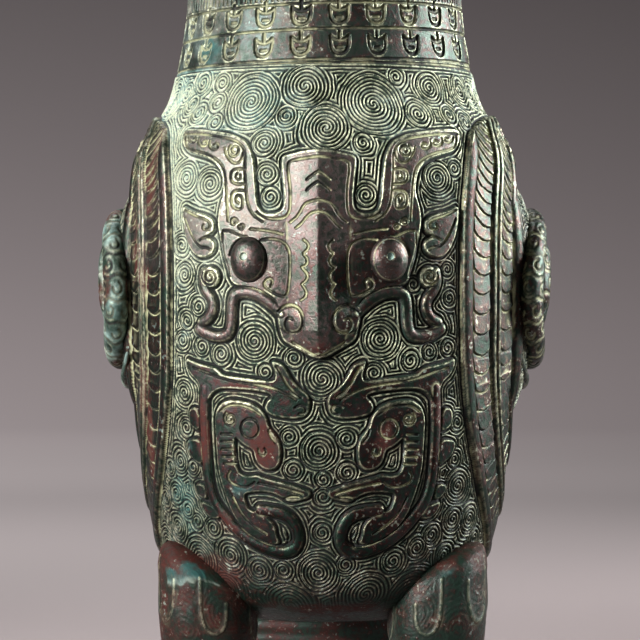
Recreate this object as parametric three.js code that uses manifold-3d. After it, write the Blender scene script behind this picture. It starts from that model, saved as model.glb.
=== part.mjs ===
// Bronze owl vessel: a hollow bird-shaped wine jar that stands on two legs and its tail.
// The head is the lid and lifts off. Millimetres, +Z up, the owl faces -Y.
import * as THREE from 'three';
import { mergeVertices } from 'three/addons/utils/BufferGeometryUtils.js';
import Module from 'manifold-3d';

const wasm = await Module();
wasm.setup();

// Fits
const SEAT_GAP = 0.3; // between a cast-on piece and what it sits on
const WING_CLEARANCE = 1.5; // least room between the chest's relief and the wings
const FLANGE_CLEARANCE = 0.6; // lid flange inside the mouth

// Body, from the base up: each rise is measured from the station below it
const BASE_HEIGHT = 46.5;
const BASE_RADIUS = 34;
const KEEL_RISE = 11.5;
const KEEL_RADIUS = 60;
const HIP_RISE = 21;
const HIP_RADIUS = 71.5;
const WAIST_RISE = 35;
const WAIST_RADIUS = 78;
const FLANK_RISE = 43;
const FLANK_RADIUS = 82;
const BELLY_RISE = 45;
const BELLY_RADIUS = 84;
const CHEST_RISE = 38;
const CHEST_RADIUS = 82;
const SHOULDER_RISE = 18;
const SHOULDER_RADIUS = 75.4;
const NAPE_RISE = 14;
const NAPE_RADIUS = 67.8;
const NECK_RISE = 18;
const NECK_RADIUS = 63.5;
const COLLAR_RISE = 18;
const COLLAR_RADIUS = 60.8;
const RIM_RISE = 22;
const RIM_RADIUS = 59.5;
const BELLY_DEPTH = 80.6; // half depth where the half width is BELLY_RADIUS
const WALL = 4;

// Relief heights above the seat
const MASK_RELIEF = 2.2;
const DRAGON_RELIEF = 2;
const LIP_RELIEF = 3;
const WING_PLATE = 1.6;
const SCALE_BAND = 2.2;
const WING_RIDGE = 3.8;

// Ornament is drawn in steps of this length, each form from a centre of its own
const STEP_LENGTH = 1;

// Mask
const MASK_EYE_OUT = 28.6; // eye centre from the middle line
const MASK_EYE_HEIGHT = 154.5; // above the base
const MASK_EYE_RADIUS = 8.2;
const MASK_EYE_BULGE = 5;
const PUPIL_RADIUS = 1.9;
const PUPIL_DEPTH = 2.5;
const NOSTRIL_RADIUS = 5.8;
const NOSE_ROOT_RISE = 2.6; // ridge above the body at the forehead
const NOSE_TIP_RISE = 8.5;
const NOSE_SLOPE_FOOT = 1.7;
const LIP_WIDTH = 4.4;
const FRAME_WIDTH = 2.8; // round the ground panel beside the forehead
const JAW_WIDTH = 4.2;
const EAR_WIDTH = 4;
const CURL_RADIUS = 4.2;
const CURL_WIDTH = 3.6;

// Dragons
const CREST_WIDTH = 4.4;
const DRAGON_BAND = 5.6;

// Wings and serpents
const RIDGE_WIDTH = 4.8; // leading edge
const RIB_WIDTH = 6.2; // between the two bands of scales
const RIB_INSET = 18.5;
const INNER_RIB_WIDTH = 4.6;
const INNER_RIB_INSET = 37;
const FEATHER_WIDTH = 3.8;
const FEATHER_INSET = 3; // middle of the first long feather from the rear edge
const FEATHER_STEP = 5.4;
const FEATHERS = 3;
const COIL_BACK = 5; // coil centre behind the middle of the body
const COIL_HEIGHT = 134.5; // above the base
const COIL_RADIUS = 44;
const COIL_PITCH = 17; // from one turn to the next
const COIL_TURNS = 2.15;
const COIL_START = -1.05 * Math.PI; // where the tail begins, from level behind
const COIL_RISE = 9; // how much higher the middle of the inner turn lies
const SERPENT_RADIUS = 6.2;
const SERPENT_LIFT = 1.4; // middle of the outer turn above the wing plate
const SERPENT_CLIMB = 8; // how much further out the inner end stands
const SERPENT_HEAD_LENGTH = 8.6;
const SERPENT_HEAD_WIDTH = 7.2;
const SERPENT_HEAD_RISE = 15.5;
const SERPENT_HEAD_UP = 1.5; // above the middle of the inner turn

// Legs and feet
const LEG_OUT = 49.5;
const LEG_FRONT = 26;
const THIGH_HEIGHT = 13.5; // its top above the body's base
const THIGH_HALF_WIDTH = 21;
const THIGH_HALF_DEPTH = 29;
const THIGH_SLOPE = 0.45; // the thigh's top edge falls towards the middle
const SHANK_HEIGHT = 33;
const SHANK_HALF_WIDTH = 19.5;
const SHANK_HALF_DEPTH = 26;
const CALF_HEIGHT = 23;
const CALF_HALF_WIDTH = 15.5;
const CALF_HALF_DEPTH = 19;
const ANKLE_HEIGHT = 15;
const ANKLE_HALF_WIDTH = 13.5;
const ANKLE_HALF_DEPTH = 15.5;
const TOE_LENGTH = 44;
const TOE_RADIUS = 7.5;
const TOE_SPREAD = 0.3;
const TOE_TIP = 1; // height of the claw tip's middle
const PAD_SPREAD = 3; // sole beyond the ankle, sideways
const PAD_REACH = 5; // and fore and aft
const SPUR_LENGTH = 26;

// Tail
const TAIL_HEIGHT = 132;
const TAIL_TOP_HALF_WIDTH = 25;
const TAIL_FOOT_HALF_WIDTH = 39;
const TAIL_TOP_BACK = 71;
const TAIL_FOOT_BACK = 86;
const TAIL_TOP_THICKNESS = 8.5;
const TAIL_FOOT_THICKNESS = 11;
const TAIL_SWELL = 4;
const TAIL_FEATHERS = 5;
const TAIL_FEATHER_DEPTH = 3.5;

// Head lid, heights measured from the mouth rim
const LID_LIP_RADIUS = 61;
const LID_CHEEK_RADIUS = 63.5;
const LID_CHEEK_HEIGHT = 20;
const LID_BROW_RADIUS = 58;
const LID_BROW_RISE = 27;
const LID_CROWN_RADIUS = 34;
const LID_CROWN_RISE = 23;
const LID_TOP_RISE = 8;
const LID_WALL = 4;
const LID_LIP_WIDTH = 10.5;
const LID_LIP_THICKNESS = 4;
const FLANGE_DEPTH = 14;
const FLANGE_THICKNESS = 3;
const LID_EYE_OUT = 27;
const LID_EYE_HEIGHT = 40;
const LID_EYE_RADIUS = 15.5;
const LID_EYE_RIM = 3; // width of the raised rim
const LID_EYE_RISE = 4.5; // rim above the head
const LID_EYE_BOSS = 8; // radius of the boss in the middle
const LID_EYE_BULGE = 8;
const LID_EYE_STEP = 2; // floor inside the rim, and the boss's shoulder
const BEAK_HEIGHT = 36;
const BEAK_REACH = 20;
const BEAK_DROP = 27;
const BEAK_RADIUS = 13;
const BEAK_ROOT = 8; // starts this far inside the face
const BEAK_BRIDGE = 6;
const TUFT_OUT = 29;
const TUFT_FRONT = 8;
const TUFT_LEAN = 2;
const TUFT_ROOT_DEPTH = 22; // starts this far under the crown
const TUFT_HEIGHT = 110; // tip above the mouth rim
const TUFT_FLARE = 12;
const TUFT_RADIUS = 13;
const TUFT_FLATNESS = 0.6;
const KNOB_STEM_RADIUS = 6;
const KNOB_STEM_HEIGHT = 9;
const KNOB_CAP_RADIUS = 12.5;
const KNOB_CAP_HEIGHT = 11;
const KNOB_EDGE = 2;

const BODY_SIDES = 30;
const CAVITY_SIDES = 20;
const FAR = 160; // longer than any cut needs

const ovalness = BELLY_DEPTH / BELLY_RADIUS;

// Solids from three.js geometry, turned the right way out
function solidFrom(geometry) {
  for (const name of Object.keys(geometry.attributes)) {
    if (name !== 'position') geometry.deleteAttribute(name);
  }
  const merged = mergeVertices(geometry, 1e-4);
  const position = merged.attributes.position.array;
  const index = merged.index.array;
  const corner = (i) => new THREE.Vector3().fromArray(position, 3 * i);
  const triangles = [];
  let volume = 0;
  for (let i = 0; i < index.length; i += 3) {
    const [a, b, c] = [index[i], index[i + 1], index[i + 2]];
    if (a === b || b === c || c === a) continue;
    triangles.push([a, b, c]);
    volume += corner(a).dot(corner(b).cross(corner(c)));
  }
  if (volume < 0) triangles.forEach((t) => t.reverse());
  return new wasm.Manifold(new wasm.Mesh({
    numProp: 3,
    vertProperties: Float32Array.from(position),
    triVerts: Uint32Array.from(triangles.flat()),
  }));
}

// A solid of revolution about Z from [radius, height] pairs that start and end on the axis
function turned(pairs, sides, depthScale = 1) {
  const points = pairs.map(([radius, height]) => new THREE.Vector2(radius, height));
  const geometry = new THREE.LatheGeometry(points, sides);
  geometry.rotateX(Math.PI / 2);
  geometry.scale(1, depthScale, 1);
  return solidFrom(geometry);
}

// A solid through rings of equal point count, closed by a fan at each end
function loft(rings) {
  const count = rings[0].length;
  const vertices = rings.flat();
  const index = [];
  for (let r = 0; r + 1 < rings.length; r += 1) {
    for (let i = 0; i < count; i += 1) {
      const a = r * count + i;
      const b = r * count + (i + 1) % count;
      index.push(a, b, b + count, a, b + count, a + count);
    }
  }
  const closeEnd = (ring, start, flip) => {
    const middle = new THREE.Vector3();
    ring.forEach((p) => middle.addScaledVector(p, 1 / count));
    vertices.push(middle);
    for (let i = 0; i < count; i += 1) {
      const a = start + i;
      const b = start + (i + 1) % count;
      index.push(vertices.length - 1, flip ? b : a, flip ? a : b);
    }
  };
  closeEnd(rings[0], 0, true);
  closeEnd(rings[rings.length - 1], (rings.length - 1) * count, false);
  const geometry = new THREE.BufferGeometry().setFromPoints(vertices);
  geometry.setIndex(index);
  return solidFrom(geometry);
}

// A level ellipse, tilted so that it climbs outwards by `slope`
function ellipseRing(x, y, z, halfWidth, halfDepth, sides, slope = 0) {
  return Array.from({ length: sides }, (_, i) => {
    const angle = (2 * Math.PI * i) / sides;
    const across = halfWidth * Math.cos(angle);
    return new THREE.Vector3(x + across, y + halfDepth * Math.sin(angle), z + slope * across);
  });
}

// A round bar along a smooth path; `radiusAt` takes 0 at the start to 1 at the end
function bar(path, radiusAt, steps, sides, flatten = 1) {
  const curve = new THREE.CatmullRomCurve3(path.map((p) => new THREE.Vector3(...p)));
  const frames = curve.computeFrenetFrames(steps, false);
  const rings = [];
  for (let i = 0; i <= steps; i += 1) {
    const middle = curve.getPointAt(i / steps);
    const radius = radiusAt(i / steps);
    rings.push(Array.from({ length: sides }, (_, k) => {
      const angle = (2 * Math.PI * k) / sides;
      return middle.clone()
        .addScaledVector(frames.normals[i], radius * Math.cos(angle))
        .addScaledVector(frames.binormals[i], radius * flatten * Math.sin(angle));
    }));
  }
  return loft(rings);
}

// An ellipsoid whose first axis lies along `along` and whose third axis lies along `up`
function ellipsoid(middle, halfSizes, along, up, sides) {
  const geometry = new THREE.SphereGeometry(1, sides, Math.round(sides / 2));
  const side = new THREE.Vector3().crossVectors(up, along).normalize();
  const front = new THREE.Vector3().crossVectors(side, up).normalize();
  geometry.scale(...halfSizes);
  geometry.applyMatrix4(new THREE.Matrix4().makeBasis(front, side, up.clone().normalize()));
  geometry.translate(middle.x, middle.y, middle.z);
  return solidFrom(geometry);
}

// Flat outlines. A run is a smooth curve; the runs meet in corners.
function outline(...runs) {
  const points = runs.flatMap((run) => {
    const curve = new THREE.SplineCurve(run.map((p) => new THREE.Vector2(...p)));
    return curve.getPoints((run.length - 1) * 2);
  });
  return new THREE.Shape(points.filter((p, i) => i === 0 || p.distanceTo(points[i - 1]) > 0.05));
}

// A strip along a smooth centre line, with blunt rounded ends
function ribbon(line, width, startShare = 1, endShare = 1) {
  const curve = new THREE.SplineCurve(line.map((p) => new THREE.Vector2(...p)));
  const steps = (line.length - 1) * 2;
  const left = [];
  const right = [];
  for (let i = 0; i <= steps; i += 1) {
    const share = THREE.MathUtils.lerp(startShare, endShare, i / steps);
    const point = curve.getPoint(i / steps);
    const tangent = curve.getTangent(i / steps);
    const reach = (i === 0 || i === steps ? 0.35 : 0.5) * width * share;
    left.push(new THREE.Vector2(point.x - tangent.y * reach, point.y + tangent.x * reach));
    right.unshift(new THREE.Vector2(point.x + tangent.y * reach, point.y - tangent.x * reach));
  }
  return new THREE.Shape([...left, ...right]);
}

function disc(x, y, radius) {
  const shape = new THREE.Shape();
  shape.absarc(x, y, radius, 0, 2 * Math.PI);
  return shape;
}

const prismOptions = { depth: FAR, bevelEnabled: false, curveSegments: 8 };

// Outlines drawn from the front (x, z) reach forwards; from the side (y, z) they reach to +X
function frontPrism(shape) {
  const geometry = new THREE.ExtrudeGeometry(shape, prismOptions);
  geometry.rotateX(Math.PI / 2);
  return solidFrom(geometry);
}

function sidePrism(shape) {
  const geometry = new THREE.ExtrudeGeometry(shape, prismOptions);
  const [x, y, z] = [[1, 0, 0], [0, 1, 0], [0, 0, 1]].map((axis) => new THREE.Vector3(...axis));
  geometry.applyMatrix4(new THREE.Matrix4().makeBasis(y, z, x));
  return solidFrom(geometry);
}

const joined = (solids) => solids.reduce((whole, next) => whole.add(next));

// Body profile
const stations = [[BASE_RADIUS, BASE_HEIGHT]];
for (const [rise, radius] of [
  [KEEL_RISE, KEEL_RADIUS], [HIP_RISE, HIP_RADIUS], [WAIST_RISE, WAIST_RADIUS],
  [FLANK_RISE, FLANK_RADIUS], [BELLY_RISE, BELLY_RADIUS], [CHEST_RISE, CHEST_RADIUS],
  [SHOULDER_RISE, SHOULDER_RADIUS], [NAPE_RISE, NAPE_RADIUS], [NECK_RISE, NECK_RADIUS],
  [COLLAR_RISE, COLLAR_RADIUS], [RIM_RISE, RIM_RADIUS],
]) {
  stations.push([radius, stations[stations.length - 1][1] + rise]);
}
const rimHeight = stations[stations.length - 1][1];
const bodyCurve = new THREE.SplineCurve(stations.map((s) => new THREE.Vector2(...s)));

function bodyProfile(offset, places) {
  return places.map((place) => {
    const point = bodyCurve.getPoint(place);
    const tangent = bodyCurve.getTangent(place);
    return [point.x + tangent.y * offset, point.y - tangent.x * offset];
  });
}
const evenPlaces = (steps) => Array.from({ length: steps + 1 }, (_, i) => i / steps);

// One ring per station, and one between stations where the profile bends
const stationPlaces = evenPlaces(stations.length - 1);
const profilePlaces = stationPlaces.flatMap((place, i) => {
  if (i === 0) return [place];
  const between = (stationPlaces[i - 1] + place) / 2;
  const [low, middle, high] = [stationPlaces[i - 1], between, place].map((t) => bodyCurve.getPoint(t));
  const bend = middle.distanceTo(low.add(high).multiplyScalar(0.5));
  return bend > 0.8 ? [between, place] : [place];
});

const fineProfile = bodyProfile(0, evenPlaces(140));
function radiusOn(curve, height) {
  const above = Math.max(1, curve.findIndex(([, z]) => z >= height));
  const [[r0, z0], [r1, z1]] = [curve[above - 1], curve[above]];
  return THREE.MathUtils.mapLinear(height, z0, z1, r0, r1);
}
const bodyRadius = (height) => radiusOn(fineProfile, height);
const bodyFront = (x, height) => ovalness * Math.sqrt(Math.max(0, bodyRadius(height) ** 2 - x * x));

const grown = new Map();
function bodyGrown(offset) {
  if (!grown.has(offset)) {
    const curve = bodyProfile(offset, profilePlaces);
    const pairs = [[0, curve[0][1]], ...curve, [0, curve[curve.length - 1][1]]];
    grown.set(offset, turned(pairs, BODY_SIDES, ovalness));
  }
  return grown.get(offset);
}
const layer = (low, high) => bodyGrown(SEAT_GAP + high).subtract(bodyGrown(SEAT_GAP + low));
const skin = (height) => layer(0, height);
const seated = (solid) => solid.subtract(bodyGrown(SEAT_GAP));

const cavityCurve = bodyProfile(-WALL, stationPlaces);
const cavityMouth = cavityCurve[cavityCurve.length - 1];

function bodyShell() {
  const top = rimHeight + WALL;
  const pairs = [[0, cavityCurve[0][1]], ...cavityCurve, [cavityMouth[0], top], [0, top]];
  return bodyGrown(0).subtract(turned(pairs, CAVITY_SIDES, ovalness));
}

const eyeHeight = BASE_HEIGHT + MASK_EYE_HEIGHT;
const coilHeight = BASE_HEIGHT + COIL_HEIGHT;

const drawnFrom = (out, height) => (points) => points.map(
  ([across, up]) => [out + STEP_LENGTH * across, height + STEP_LENGTH * up],
);
const besideNose = drawnFrom(0, eyeHeight);
const roundEye = drawnFrom(MASK_EYE_OUT, eyeHeight);
const underMask = drawnFrom(...besideNose([[0, -41]])[0]);
const roundCoil = drawnFrom(COIL_BACK, coilHeight);

// The wing's outline is drawn from the side
const wingFront = roundCoil([
  [-1, 84], [-29, 81.5], [-47, 72], [-55, 45], [-56, 7], [-51, -41], [-36, -79], [-15, -105], [1, -111],
]);
const wingRear = roundCoil([
  [1, -111], [29, -100], [55, -90], [61.5, -51], [64, -6], [57, 45], [35, 73], [-1, 84],
]);

function towardsCoil(points, inset) {
  const coil = new THREE.Vector2(COIL_BACK, coilHeight);
  return points.map((p) => {
    const point = new THREE.Vector2(...p);
    const reach = point.distanceTo(coil);
    return coil.clone().lerp(point, (reach - inset) / reach).toArray();
  });
}
const wingOutline = (clearance) => outline(
  towardsCoil(wingFront, -clearance),
  towardsCoil(wingRear, -clearance),
);

// Relief on the chest follows the body and stops short of the wings
function relief(shapes, height) {
  const raised = joined(shapes.map(frontPrism)).intersect(skin(height));
  return raised.subtract(sidePrism(wingOutline(WING_CLEARANCE)));
}

// Mask on the chest: forehead, ridged nose and pointed upper lip in one piece
function maskNose() {
  const sections = [ // height from the eyes, half width, share of the way from root to tip
    [45, 12.6, 0], [40, 12.8, 0.1], [24, 11.8, 0.25], [16, 9.4, 0.35], [6, 6.2, 0.45],
    [-11, 5.6, 0.65], [-20, 5.4, 0.85], [-29, 5.4, 1], [-36, 5.2, 0.9], [-41.5, 1.2, 0.5],
  ];
  const rings = sections.map(([up, across, share]) => {
    const [[half, z]] = besideNose([[across, up]]);
    const ridge = bodyFront(0, z) + THREE.MathUtils.lerp(NOSE_ROOT_RISE, NOSE_TIP_RISE, share);
    const foot = bodyFront(half, z) + NOSE_SLOPE_FOOT;
    const buried = bodyFront(half, z) - 2 * WALL;
    return [[-half, buried], [-half, foot], [0, ridge], [half, foot], [half, buried]]
      .map(([x, reach]) => new THREE.Vector3(x, -reach, z));
  });
  const lip = besideNose([[-15.5, -32.4], [-8, -36.5], [0, -40.2], [8, -36.5], [15.5, -32.4]]);
  return seated(loft(rings)).add(relief([ribbon(lip, LIP_WIDTH)], LIP_RELIEF));
}

function maskHorn() {
  const shape = outline(
    besideNose([
      [59, 54.4], [52.6, 55.2], [46.3, 54.4], [39.2, 52.4], [31, 49], [28, 44], [27.3, 32], [26.8, 19.4],
    ]),
    besideNose([[40.4, 19.4], [40.6, 32.5], [41.6, 37.4], [45.9, 41.1], [51.7, 42.6], [58, 44.4]]),
  );
  const frame = besideNose([
    [27.4, 25], [25.2, 18.8], [21, 17.2], [17, 18.8], [15.2, 23], [15, 33], [15.4, 42.6],
  ]);
  return relief([shape, ribbon(frame, FRAME_WIDTH)], MASK_RELIEF);
}

// The plate's outer side goes with the eye, its inner side stays beside the nose
function maskCheek() {
  const shape = outline(
    [
      ...roundEye([[11.7, 11], [6, 14.4], [-1.6, 15.2], [-7.7, 14.6]]),
      ...besideNose([[14.5, 13.6], [10.5, 10]]),
    ],
    [
      ...besideNose([[7.4, 3], [7, -6], [9, -12.4], [13, -14.4]]),
      ...roundEye([[-8.8, -11], [-2.6, -9.6], [5.4, -9.2], [9.7, -5.4], [11.4, 3]]),
    ],
  );
  const socket = frontPrism(disc(MASK_EYE_OUT, eyeHeight, MASK_EYE_RADIUS + SEAT_GAP));
  return relief([shape], MASK_RELIEF).subtract(socket);
}

function maskEye() {
  const front = bodyFront(MASK_EYE_OUT, eyeHeight);
  const depth = 3 * WALL;
  const half = MASK_EYE_RADIUS * 1.2;
  const middle = new THREE.Vector3(MASK_EYE_OUT, depth - front - MASK_EYE_BULGE, eyeHeight);
  const [across, ahead] = [new THREE.Vector3(1, 0, 0), new THREE.Vector3(0, -1, 0)];
  const dome = ellipsoid(middle, [half, half, depth], across, ahead, 12);
  const round = frontPrism(disc(MASK_EYE_OUT, eyeHeight, MASK_EYE_RADIUS));
  const pupilBar = frontPrism(disc(MASK_EYE_OUT, eyeHeight, PUPIL_RADIUS));
  const keep = bodyGrown(SEAT_GAP + MASK_EYE_BULGE - PUPIL_DEPTH);
  return seated(dome.intersect(round)).subtract(pupilBar.subtract(keep));
}

function maskJaw() {
  const line = [
    ...besideNose([[15, -20.4], [20, -15.8], [26, -13.7]]),
    ...roundEye([[3.9, -13.7], [8, -18], [8.8, -26.4], [12.8, -31.6], [19.4, -31], [25.4, -26]]),
  ];
  const [nostril] = besideNose([[12.2, -24.1]]);
  return relief([ribbon(line, JAW_WIDTH), disc(...nostril, NOSTRIL_RADIUS)], MASK_RELIEF);
}

function maskEar() {
  const hook = roundEye([[28.4, 18.5], [28.6, 11.5], [26.2, 5.6], [22, 3], [18.2, 4.6], [17.4, 8.4]]);
  const tip = roundEye([[28.4, 16.6], [22.4, 17.4], [17.8, 15.4]]);
  return relief([ribbon(hook, EAR_WIDTH), ribbon(tip, EAR_WIDTH)], MASK_RELIEF);
}

function maskCurl() {
  const line = roundEye([[20.4, -8.4], [19, -13.5], [16, -17.4], [15.4, -22], [18, -25.6]]);
  const [knot] = roundEye([[17.8, -6.4]]);
  return relief([disc(...knot, CURL_RADIUS), ribbon(line, CURL_WIDTH, 1, 0.6)], MASK_RELIEF);
}

// Dragons under the mask: crest and curled body in one piece, head and leg in another
function dragonBody() {
  const crest = underMask([[57, 0], [50, -3.6], [43, -5.8], [30, -8.2], [19, -9.4], [11, -9.2]]);
  const plume = underMask([[19.6, -1], [13.4, -6], [7, -12], [4.6, -18], [7.4, -22.6]]);
  const body = underMask([
    [50.2, -4.4], [50.6, -32], [47.6, -55], [38, -69.4], [25, -78.8], [13.6, -80], [9.4, -72.6],
  ]);
  return relief([
    ribbon(crest, CREST_WIDTH),
    ribbon(plume, CREST_WIDTH, 0.7, 1.1),
    ribbon(body, DRAGON_BAND, 0.8, 0.8),
  ], DRAGON_RELIEF);
}

function dragonHead() {
  const shape = outline(
    underMask([
      [43, -24], [40.6, -19.6], [36.4, -17.6], [28.3, -18.6],
      [22.1, -23], [18, -32], [16.6, -42], [19, -46.4],
    ]),
    underMask([
      [23, -45.5], [26, -41], [30, -38.5], [34.6, -43], [35.4, -50.5], [32, -55.2], [20, -53.6], [7, -53],
    ]),
    underMask([[6, -56.6], [14, -59.4], [24, -62.4], [33, -62.8], [39.4, -57], [42, -48], [43.4, -35]]),
  );
  return relief([shape], DRAGON_RELIEF);
}

// A point on the wing plate's outer face and the way out from it
function onWing(y, height, lift) {
  const radius = bodyRadius(height);
  const x = Math.sqrt(Math.max(1, radius ** 2 - (y / ovalness) ** 2));
  const out = new THREE.Vector3(x, y / ovalness ** 2, 0).normalize();
  return new THREE.Vector3(x, y, height).addScaledVector(out, SEAT_GAP + WING_PLATE + lift);
}

function serpentHeadSolid(grow) {
  const up = new THREE.Vector3(1, 0, 0);
  const middle = onWing(COIL_BACK, coilHeight + COIL_RISE + SERPENT_HEAD_UP, 0);
  const halfSizes = [SERPENT_HEAD_LENGTH + grow, SERPENT_HEAD_WIDTH + grow, SERPENT_HEAD_RISE + grow];
  return ellipsoid(middle, halfSizes, new THREE.Vector3(0, 0.35, 1), up, 12);
}

// The serpent's body lies flat on the wing, so its section is a bow over a level seat. From the
// tail inwards the coil climbs, and its inner turn stands furthest out.
function serpentSolid(grow) {
  const steps = 38;
  const sides = 5;
  const rings = Array.from({ length: steps + 1 }, (_, i) => {
    const share = i / steps;
    const angle = COIL_START + 2 * Math.PI * COIL_TURNS * share;
    const reach = COIL_RADIUS - COIL_PITCH * COIL_TURNS * share;
    const height = coilHeight + COIL_RISE * share;
    const half = SERPENT_RADIUS * Math.min(1, 0.3 + 2.2 * share) + grow;
    const rise = half + grow + SERPENT_LIFT + SERPENT_CLIMB * share;
    return Array.from({ length: sides + 1 }, (_, k) => {
      const turn = (Math.PI * k) / sides;
      const from = reach + half * Math.cos(turn);
      const lift = SEAT_GAP - grow + rise * Math.sin(turn) ** 0.8;
      return onWing(COIL_BACK + from * Math.cos(angle), height + from * Math.sin(angle), lift);
    });
  });
  return loft(rings);
}

const wingSeated = (solid) => solid.subtract(bodyGrown(2 * SEAT_GAP + WING_PLATE));
const serpentHead = () => wingSeated(serpentHeadSolid(0));
const serpent = () => serpentSolid(0).subtract(serpentHeadSolid(SEAT_GAP));

// Wings: a plate round each side. A ridge edges it in front, ribs divide two bands of scales
// behind the ridge, and long feathers follow the rear edge.
function wing() {
  const whole = sidePrism(wingOutline(0));
  const along = wingFront.slice(1, 8);
  const edge = ribbon(towardsCoil(wingFront, RIDGE_WIDTH / 2), RIDGE_WIDTH);
  const rib = ribbon(towardsCoil(along, RIB_INSET), RIB_WIDTH);
  const innerRib = ribbon(towardsCoil(along, INNER_RIB_INSET), INNER_RIB_WIDTH);
  const feathers = Array.from({ length: FEATHERS }, (_, k) => (
    ribbon(towardsCoil(wingRear.slice(1, 7), FEATHER_INSET + FEATHER_STEP * k), FEATHER_WIDTH)
  ));
  const scales = ribbon(towardsCoil(along, INNER_RIB_INSET / 2), INNER_RIB_INSET);
  const coil = serpentSolid(SEAT_GAP);
  const raised = joined([edge, rib, innerRib, ...feathers].map(sidePrism)).subtract(coil).intersect(whole);
  const bands = sidePrism(scales).subtract(coil).intersect(whole);
  return whole.intersect(skin(WING_PLATE))
    .add(bands.intersect(layer(WING_PLATE / 2, SCALE_BAND)))
    .add(raised.intersect(layer(WING_PLATE / 2, WING_RIDGE)));
}

// Legs and feet share the flat ankle face
function leg() {
  const top = BASE_HEIGHT + THIGH_HEIGHT;
  const ring = (height, halfWidth, halfDepth, slope) => (
    ellipseRing(LEG_OUT, -LEG_FRONT, height, halfWidth, halfDepth, 18, slope)
  );
  return seated(loft([
    ring(ANKLE_HEIGHT, ANKLE_HALF_WIDTH, ANKLE_HALF_DEPTH, 0),
    ring(CALF_HEIGHT, CALF_HALF_WIDTH, CALF_HALF_DEPTH, 0),
    ring(SHANK_HEIGHT, SHANK_HALF_WIDTH, SHANK_HALF_DEPTH, THIGH_SLOPE / 3),
    ring((SHANK_HEIGHT + top) / 2, THIGH_HALF_WIDTH, THIGH_HALF_DEPTH, THIGH_SLOPE / 2),
    ring(top, THIGH_HALF_WIDTH, THIGH_HALF_DEPTH, THIGH_SLOPE),
  ]));
}

function foot() {
  const ring = (height, spread, reach) => ellipseRing(
    LEG_OUT, -LEG_FRONT, height, ANKLE_HALF_WIDTH + spread, ANKLE_HALF_DEPTH + reach, 14,
  );
  const pad = loft([
    ring(0, PAD_SPREAD, PAD_REACH),
    ring(ANKLE_HEIGHT / 2, PAD_SPREAD, PAD_REACH * 0.8),
    ring(ANKLE_HEIGHT, 0, 0),
  ]);
  const toe = (turn, length) => {
    const ahead = (reach, height) => [
      LEG_OUT + reach * Math.sin(turn),
      -LEG_FRONT - reach * Math.cos(turn),
      height,
    ];
    const path = [
      ahead(0, TOE_RADIUS * 0.8), ahead(length * 0.5, TOE_RADIUS),
      ahead(length * 0.8, TOE_RADIUS * 0.7), ahead(length, TOE_TIP),
    ];
    return bar(path, (share) => TOE_RADIUS * Math.min(1, 1.9 * (1.05 - share)), 4, 6);
  };
  const toes = [-TOE_SPREAD, 0, TOE_SPREAD].map((turn) => toe(turn, TOE_LENGTH));
  const below = solidFrom(new THREE.BoxGeometry(FAR, FAR, FAR).translate(LEG_OUT, -LEG_FRONT, -FAR / 2));
  return joined([pad, ...toes, toe(Math.PI, SPUR_LENGTH)]).subtract(below);
}

// The tail props the bird up from behind; its back face is ribbed by the feathers
function tail() {
  const levels = 6;
  const rings = Array.from({ length: levels + 1 }, (_, level) => {
    const share = level / levels;
    const half = THREE.MathUtils.lerp(TAIL_FOOT_HALF_WIDTH, TAIL_TOP_HALF_WIDTH, share ** 1.5);
    const middle = THREE.MathUtils.lerp(TAIL_FOOT_BACK, TAIL_TOP_BACK, share);
    const plain = THREE.MathUtils.lerp(TAIL_FOOT_THICKNESS, TAIL_TOP_THICKNESS, share);
    const thick = plain + TAIL_SWELL * Math.sin(Math.PI * share);
    const height = TAIL_HEIGHT * share;
    const count = TAIL_FEATHERS * 4;
    const back = Array.from({ length: count + 1 }, (_, i) => {
      const across = (2 * i) / count - 1;
      const rib = TAIL_FEATHER_DEPTH * Math.abs(Math.sin((Math.PI * TAIL_FEATHERS * (across + 1)) / 2));
      const curve = thick * Math.sqrt(1 - 0.75 * across * across) - TAIL_FEATHER_DEPTH;
      return new THREE.Vector3(half * across, middle + curve + rib, height);
    });
    const front = [0.8, 0, -0.8].map((across) => (
      new THREE.Vector3(half * across, middle - thick * (1 - across * across / 2), height)
    ));
    return [...back, ...front];
  });
  return seated(loft(rings));
}

// Head lid
const lidCurve = new THREE.SplineCurve([
  [LID_LIP_RADIUS, 0],
  [LID_CHEEK_RADIUS, LID_CHEEK_HEIGHT],
  [LID_BROW_RADIUS, LID_CHEEK_HEIGHT + LID_BROW_RISE],
  [LID_CROWN_RADIUS, LID_CHEEK_HEIGHT + LID_BROW_RISE + LID_CROWN_RISE],
  [0, LID_CHEEK_HEIGHT + LID_BROW_RISE + LID_CROWN_RISE + LID_TOP_RISE],
].map((p) => new THREE.Vector2(...p)));
const lidTop = LID_CHEEK_HEIGHT + LID_BROW_RISE + LID_CROWN_RISE + LID_TOP_RISE;

function lidProfile(offset, steps) {
  return Array.from({ length: steps + 1 }, (_, i) => {
    const point = lidCurve.getPoint(i / steps);
    const tangent = lidCurve.getTangent(i / steps);
    const radius = i === steps ? 0 : point.x + tangent.y * offset;
    return [Math.max(0, radius), rimHeight + Math.max(0, point.y - tangent.x * offset)];
  });
}
const lidGrown = (offset) => {
  const curve = lidProfile(offset, 10).map(([r, z], i) => [r, i === 0 ? rimHeight : z]);
  return turned([[0, rimHeight], ...curve], BODY_SIDES, ovalness);
};
const lidSeated = (solid) => solid.subtract(lidGrown(SEAT_GAP));

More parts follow.
